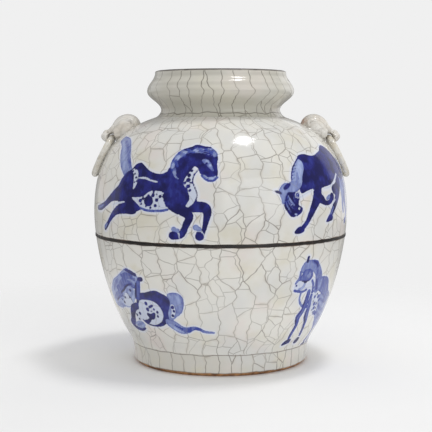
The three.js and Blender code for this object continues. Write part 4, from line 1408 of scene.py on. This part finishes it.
def rolled_ring(name, node, side):
    """A ring hung in the mouth of the mask at one side, its coil a little uneven from rolling."""
    pivot = Vector((RING_PIVOT.x * side, 0, RING_PIVOT.z))
    hang = RING_MIDDLE - RING_PIVOT
    way = Vector((hang.x * side, 0, hang.z)).normalized()
    middle = pivot + way * RING_RADIUS
    face = way.cross(Vector((0, 1, 0)))
    shape = bmesh.new()
    add_ring(shape, pivot, way, RING_THICK + RING_SKIN, RING_STEPS)
    for point in shape.verts:
        reach = point.co / MM - middle
        core = middle + (reach - face * reach.dot(face)).normalized() * RING_RADIUS
        swell = noise.noise(core * COIL_RATE) * COIL_SWELL
        swell += noise.noise(core * FINGER_RATE) * FINGER_SWELL
        point.co = (core + (point.co / MM - core) * (1 + swell)) * MM
    settled(mesh_object(name, shape), RING_FINISH, node, "ring_glaze", node)


rolled_ring("right_rolled_ring", "right_ring", 1)
rolled_ring("left_rolled_ring", "left_ring", -1)

# The studio
# A pale floor that fades into an even pale background. The light is one small soft box overhead, a
# broad weak fill in front, a panel behind at each side, and even light from all round.
FLOOR_RADIUS = 0.75
FLOOR_FADE = (200, 560)
FLOOR_PAPER = shade(246, 246, 246)
BACKDROP = shade(240, 240, 240)
AMBIENT = (0.66, 0.66, 0.66, 1)
MIRRORED = (0.25, 0.25, 0.25, 1)
# The sky is even light, but mirrors see it dimmer, and the lens sees the backdrop
OTHER_SKIES = (
    (MIRRORED, "Is Glossy Ray"),
    (BACKDROP, "Is Transmission Ray"),
    (BACKDROP, "Is Camera Ray"),
)
CAMERA_PLACE = (0, -0.9232, 0.2019)
CAMERA_AIM = (-0.0038, 0, 0.1202)
LENS_MM = 92.1


def floor_finish():
    """Pale paper that thins out to nothing away from the jar."""
    recipe = Recipe("pale_floor")
    place = recipe.place()
    fade = recipe.vector("LENGTH", place).between(*FLOOR_FADE)
    lit = recipe.node("ShaderNodeBsdfDiffuse", {}, {"Color": FLOOR_PAPER})
    clear = recipe.node("ShaderNodeBsdfTransparent")
    both = recipe.node("ShaderNodeMixShader", {}, {0: fade, 1: lit, 2: clear})
    recipe.node("ShaderNodeOutputMaterial", {}, {"Surface": both})
    return recipe.result


floor_shape = bmesh.new()
bmesh.ops.create_circle(floor_shape, cap_ends=True, segments=96, radius=FLOOR_RADIUS)
floor = mesh_object("floor", floor_shape)
floor.data.materials.append(floor_finish())

studio = Recipe("studio", bpy.data.worlds)
sky = studio.node("ShaderNodeBackground", {}, {"Color": AMBIENT})
for colour, kind in OTHER_SKIES:
    ray = studio.node("ShaderNodeLightPath", out=kind)
    other = studio.node("ShaderNodeBackground", {}, {"Color": colour})
    sky = studio.node("ShaderNodeMixShader", {}, {0: ray, 1: sky, 2: other})
studio.node("ShaderNodeOutputWorld", {}, {"Surface": sky})
bpy.context.scene.world = studio.result


def stood(name, data, place, aim):
    """A light or a camera stood at a place and aimed at another."""
    thing = bpy.data.objects.new(name, data)
    thing.location = place
    thing.rotation_euler = (Vector(aim) - Vector(place)).to_track_quat("-Z", "Y").to_euler()
    bpy.context.scene.collection.objects.link(thing)
    return thing


def soft_box(name, place, aim, size, watts):
    light = bpy.data.lights.new(name, "AREA")
    light.shape = "RECTANGLE"
    light.size, light.size_y = size
    light.energy = watts
    stood(name, light, place, aim)


soft_box("overhead_soft_box", (0.24, -0.05, 1.15), (0, 0, 0.1), (0.27, 0.16), 3.4)
soft_box("front_fill", (1.1, -2.0, 0.6), (0, 0, 0.08), (2.2, 1.4), 14)
soft_box("left_panel", (-1.2, 0.8, 0.5), (0, 0, 0.12), (1.3, 1.0), 1.7)
soft_box("right_panel", (0.85, 1.15, 0.45), (0, 0, 0.12), (1.2, 1.0), 2.2)

camera = stood("camera", bpy.data.cameras.new("camera"), CAMERA_PLACE, CAMERA_AIM)
camera.data.lens = LENS_MM
bpy.context.scene.camera = camera
bpy.context.scene.view_settings.view_transform = "Standard"
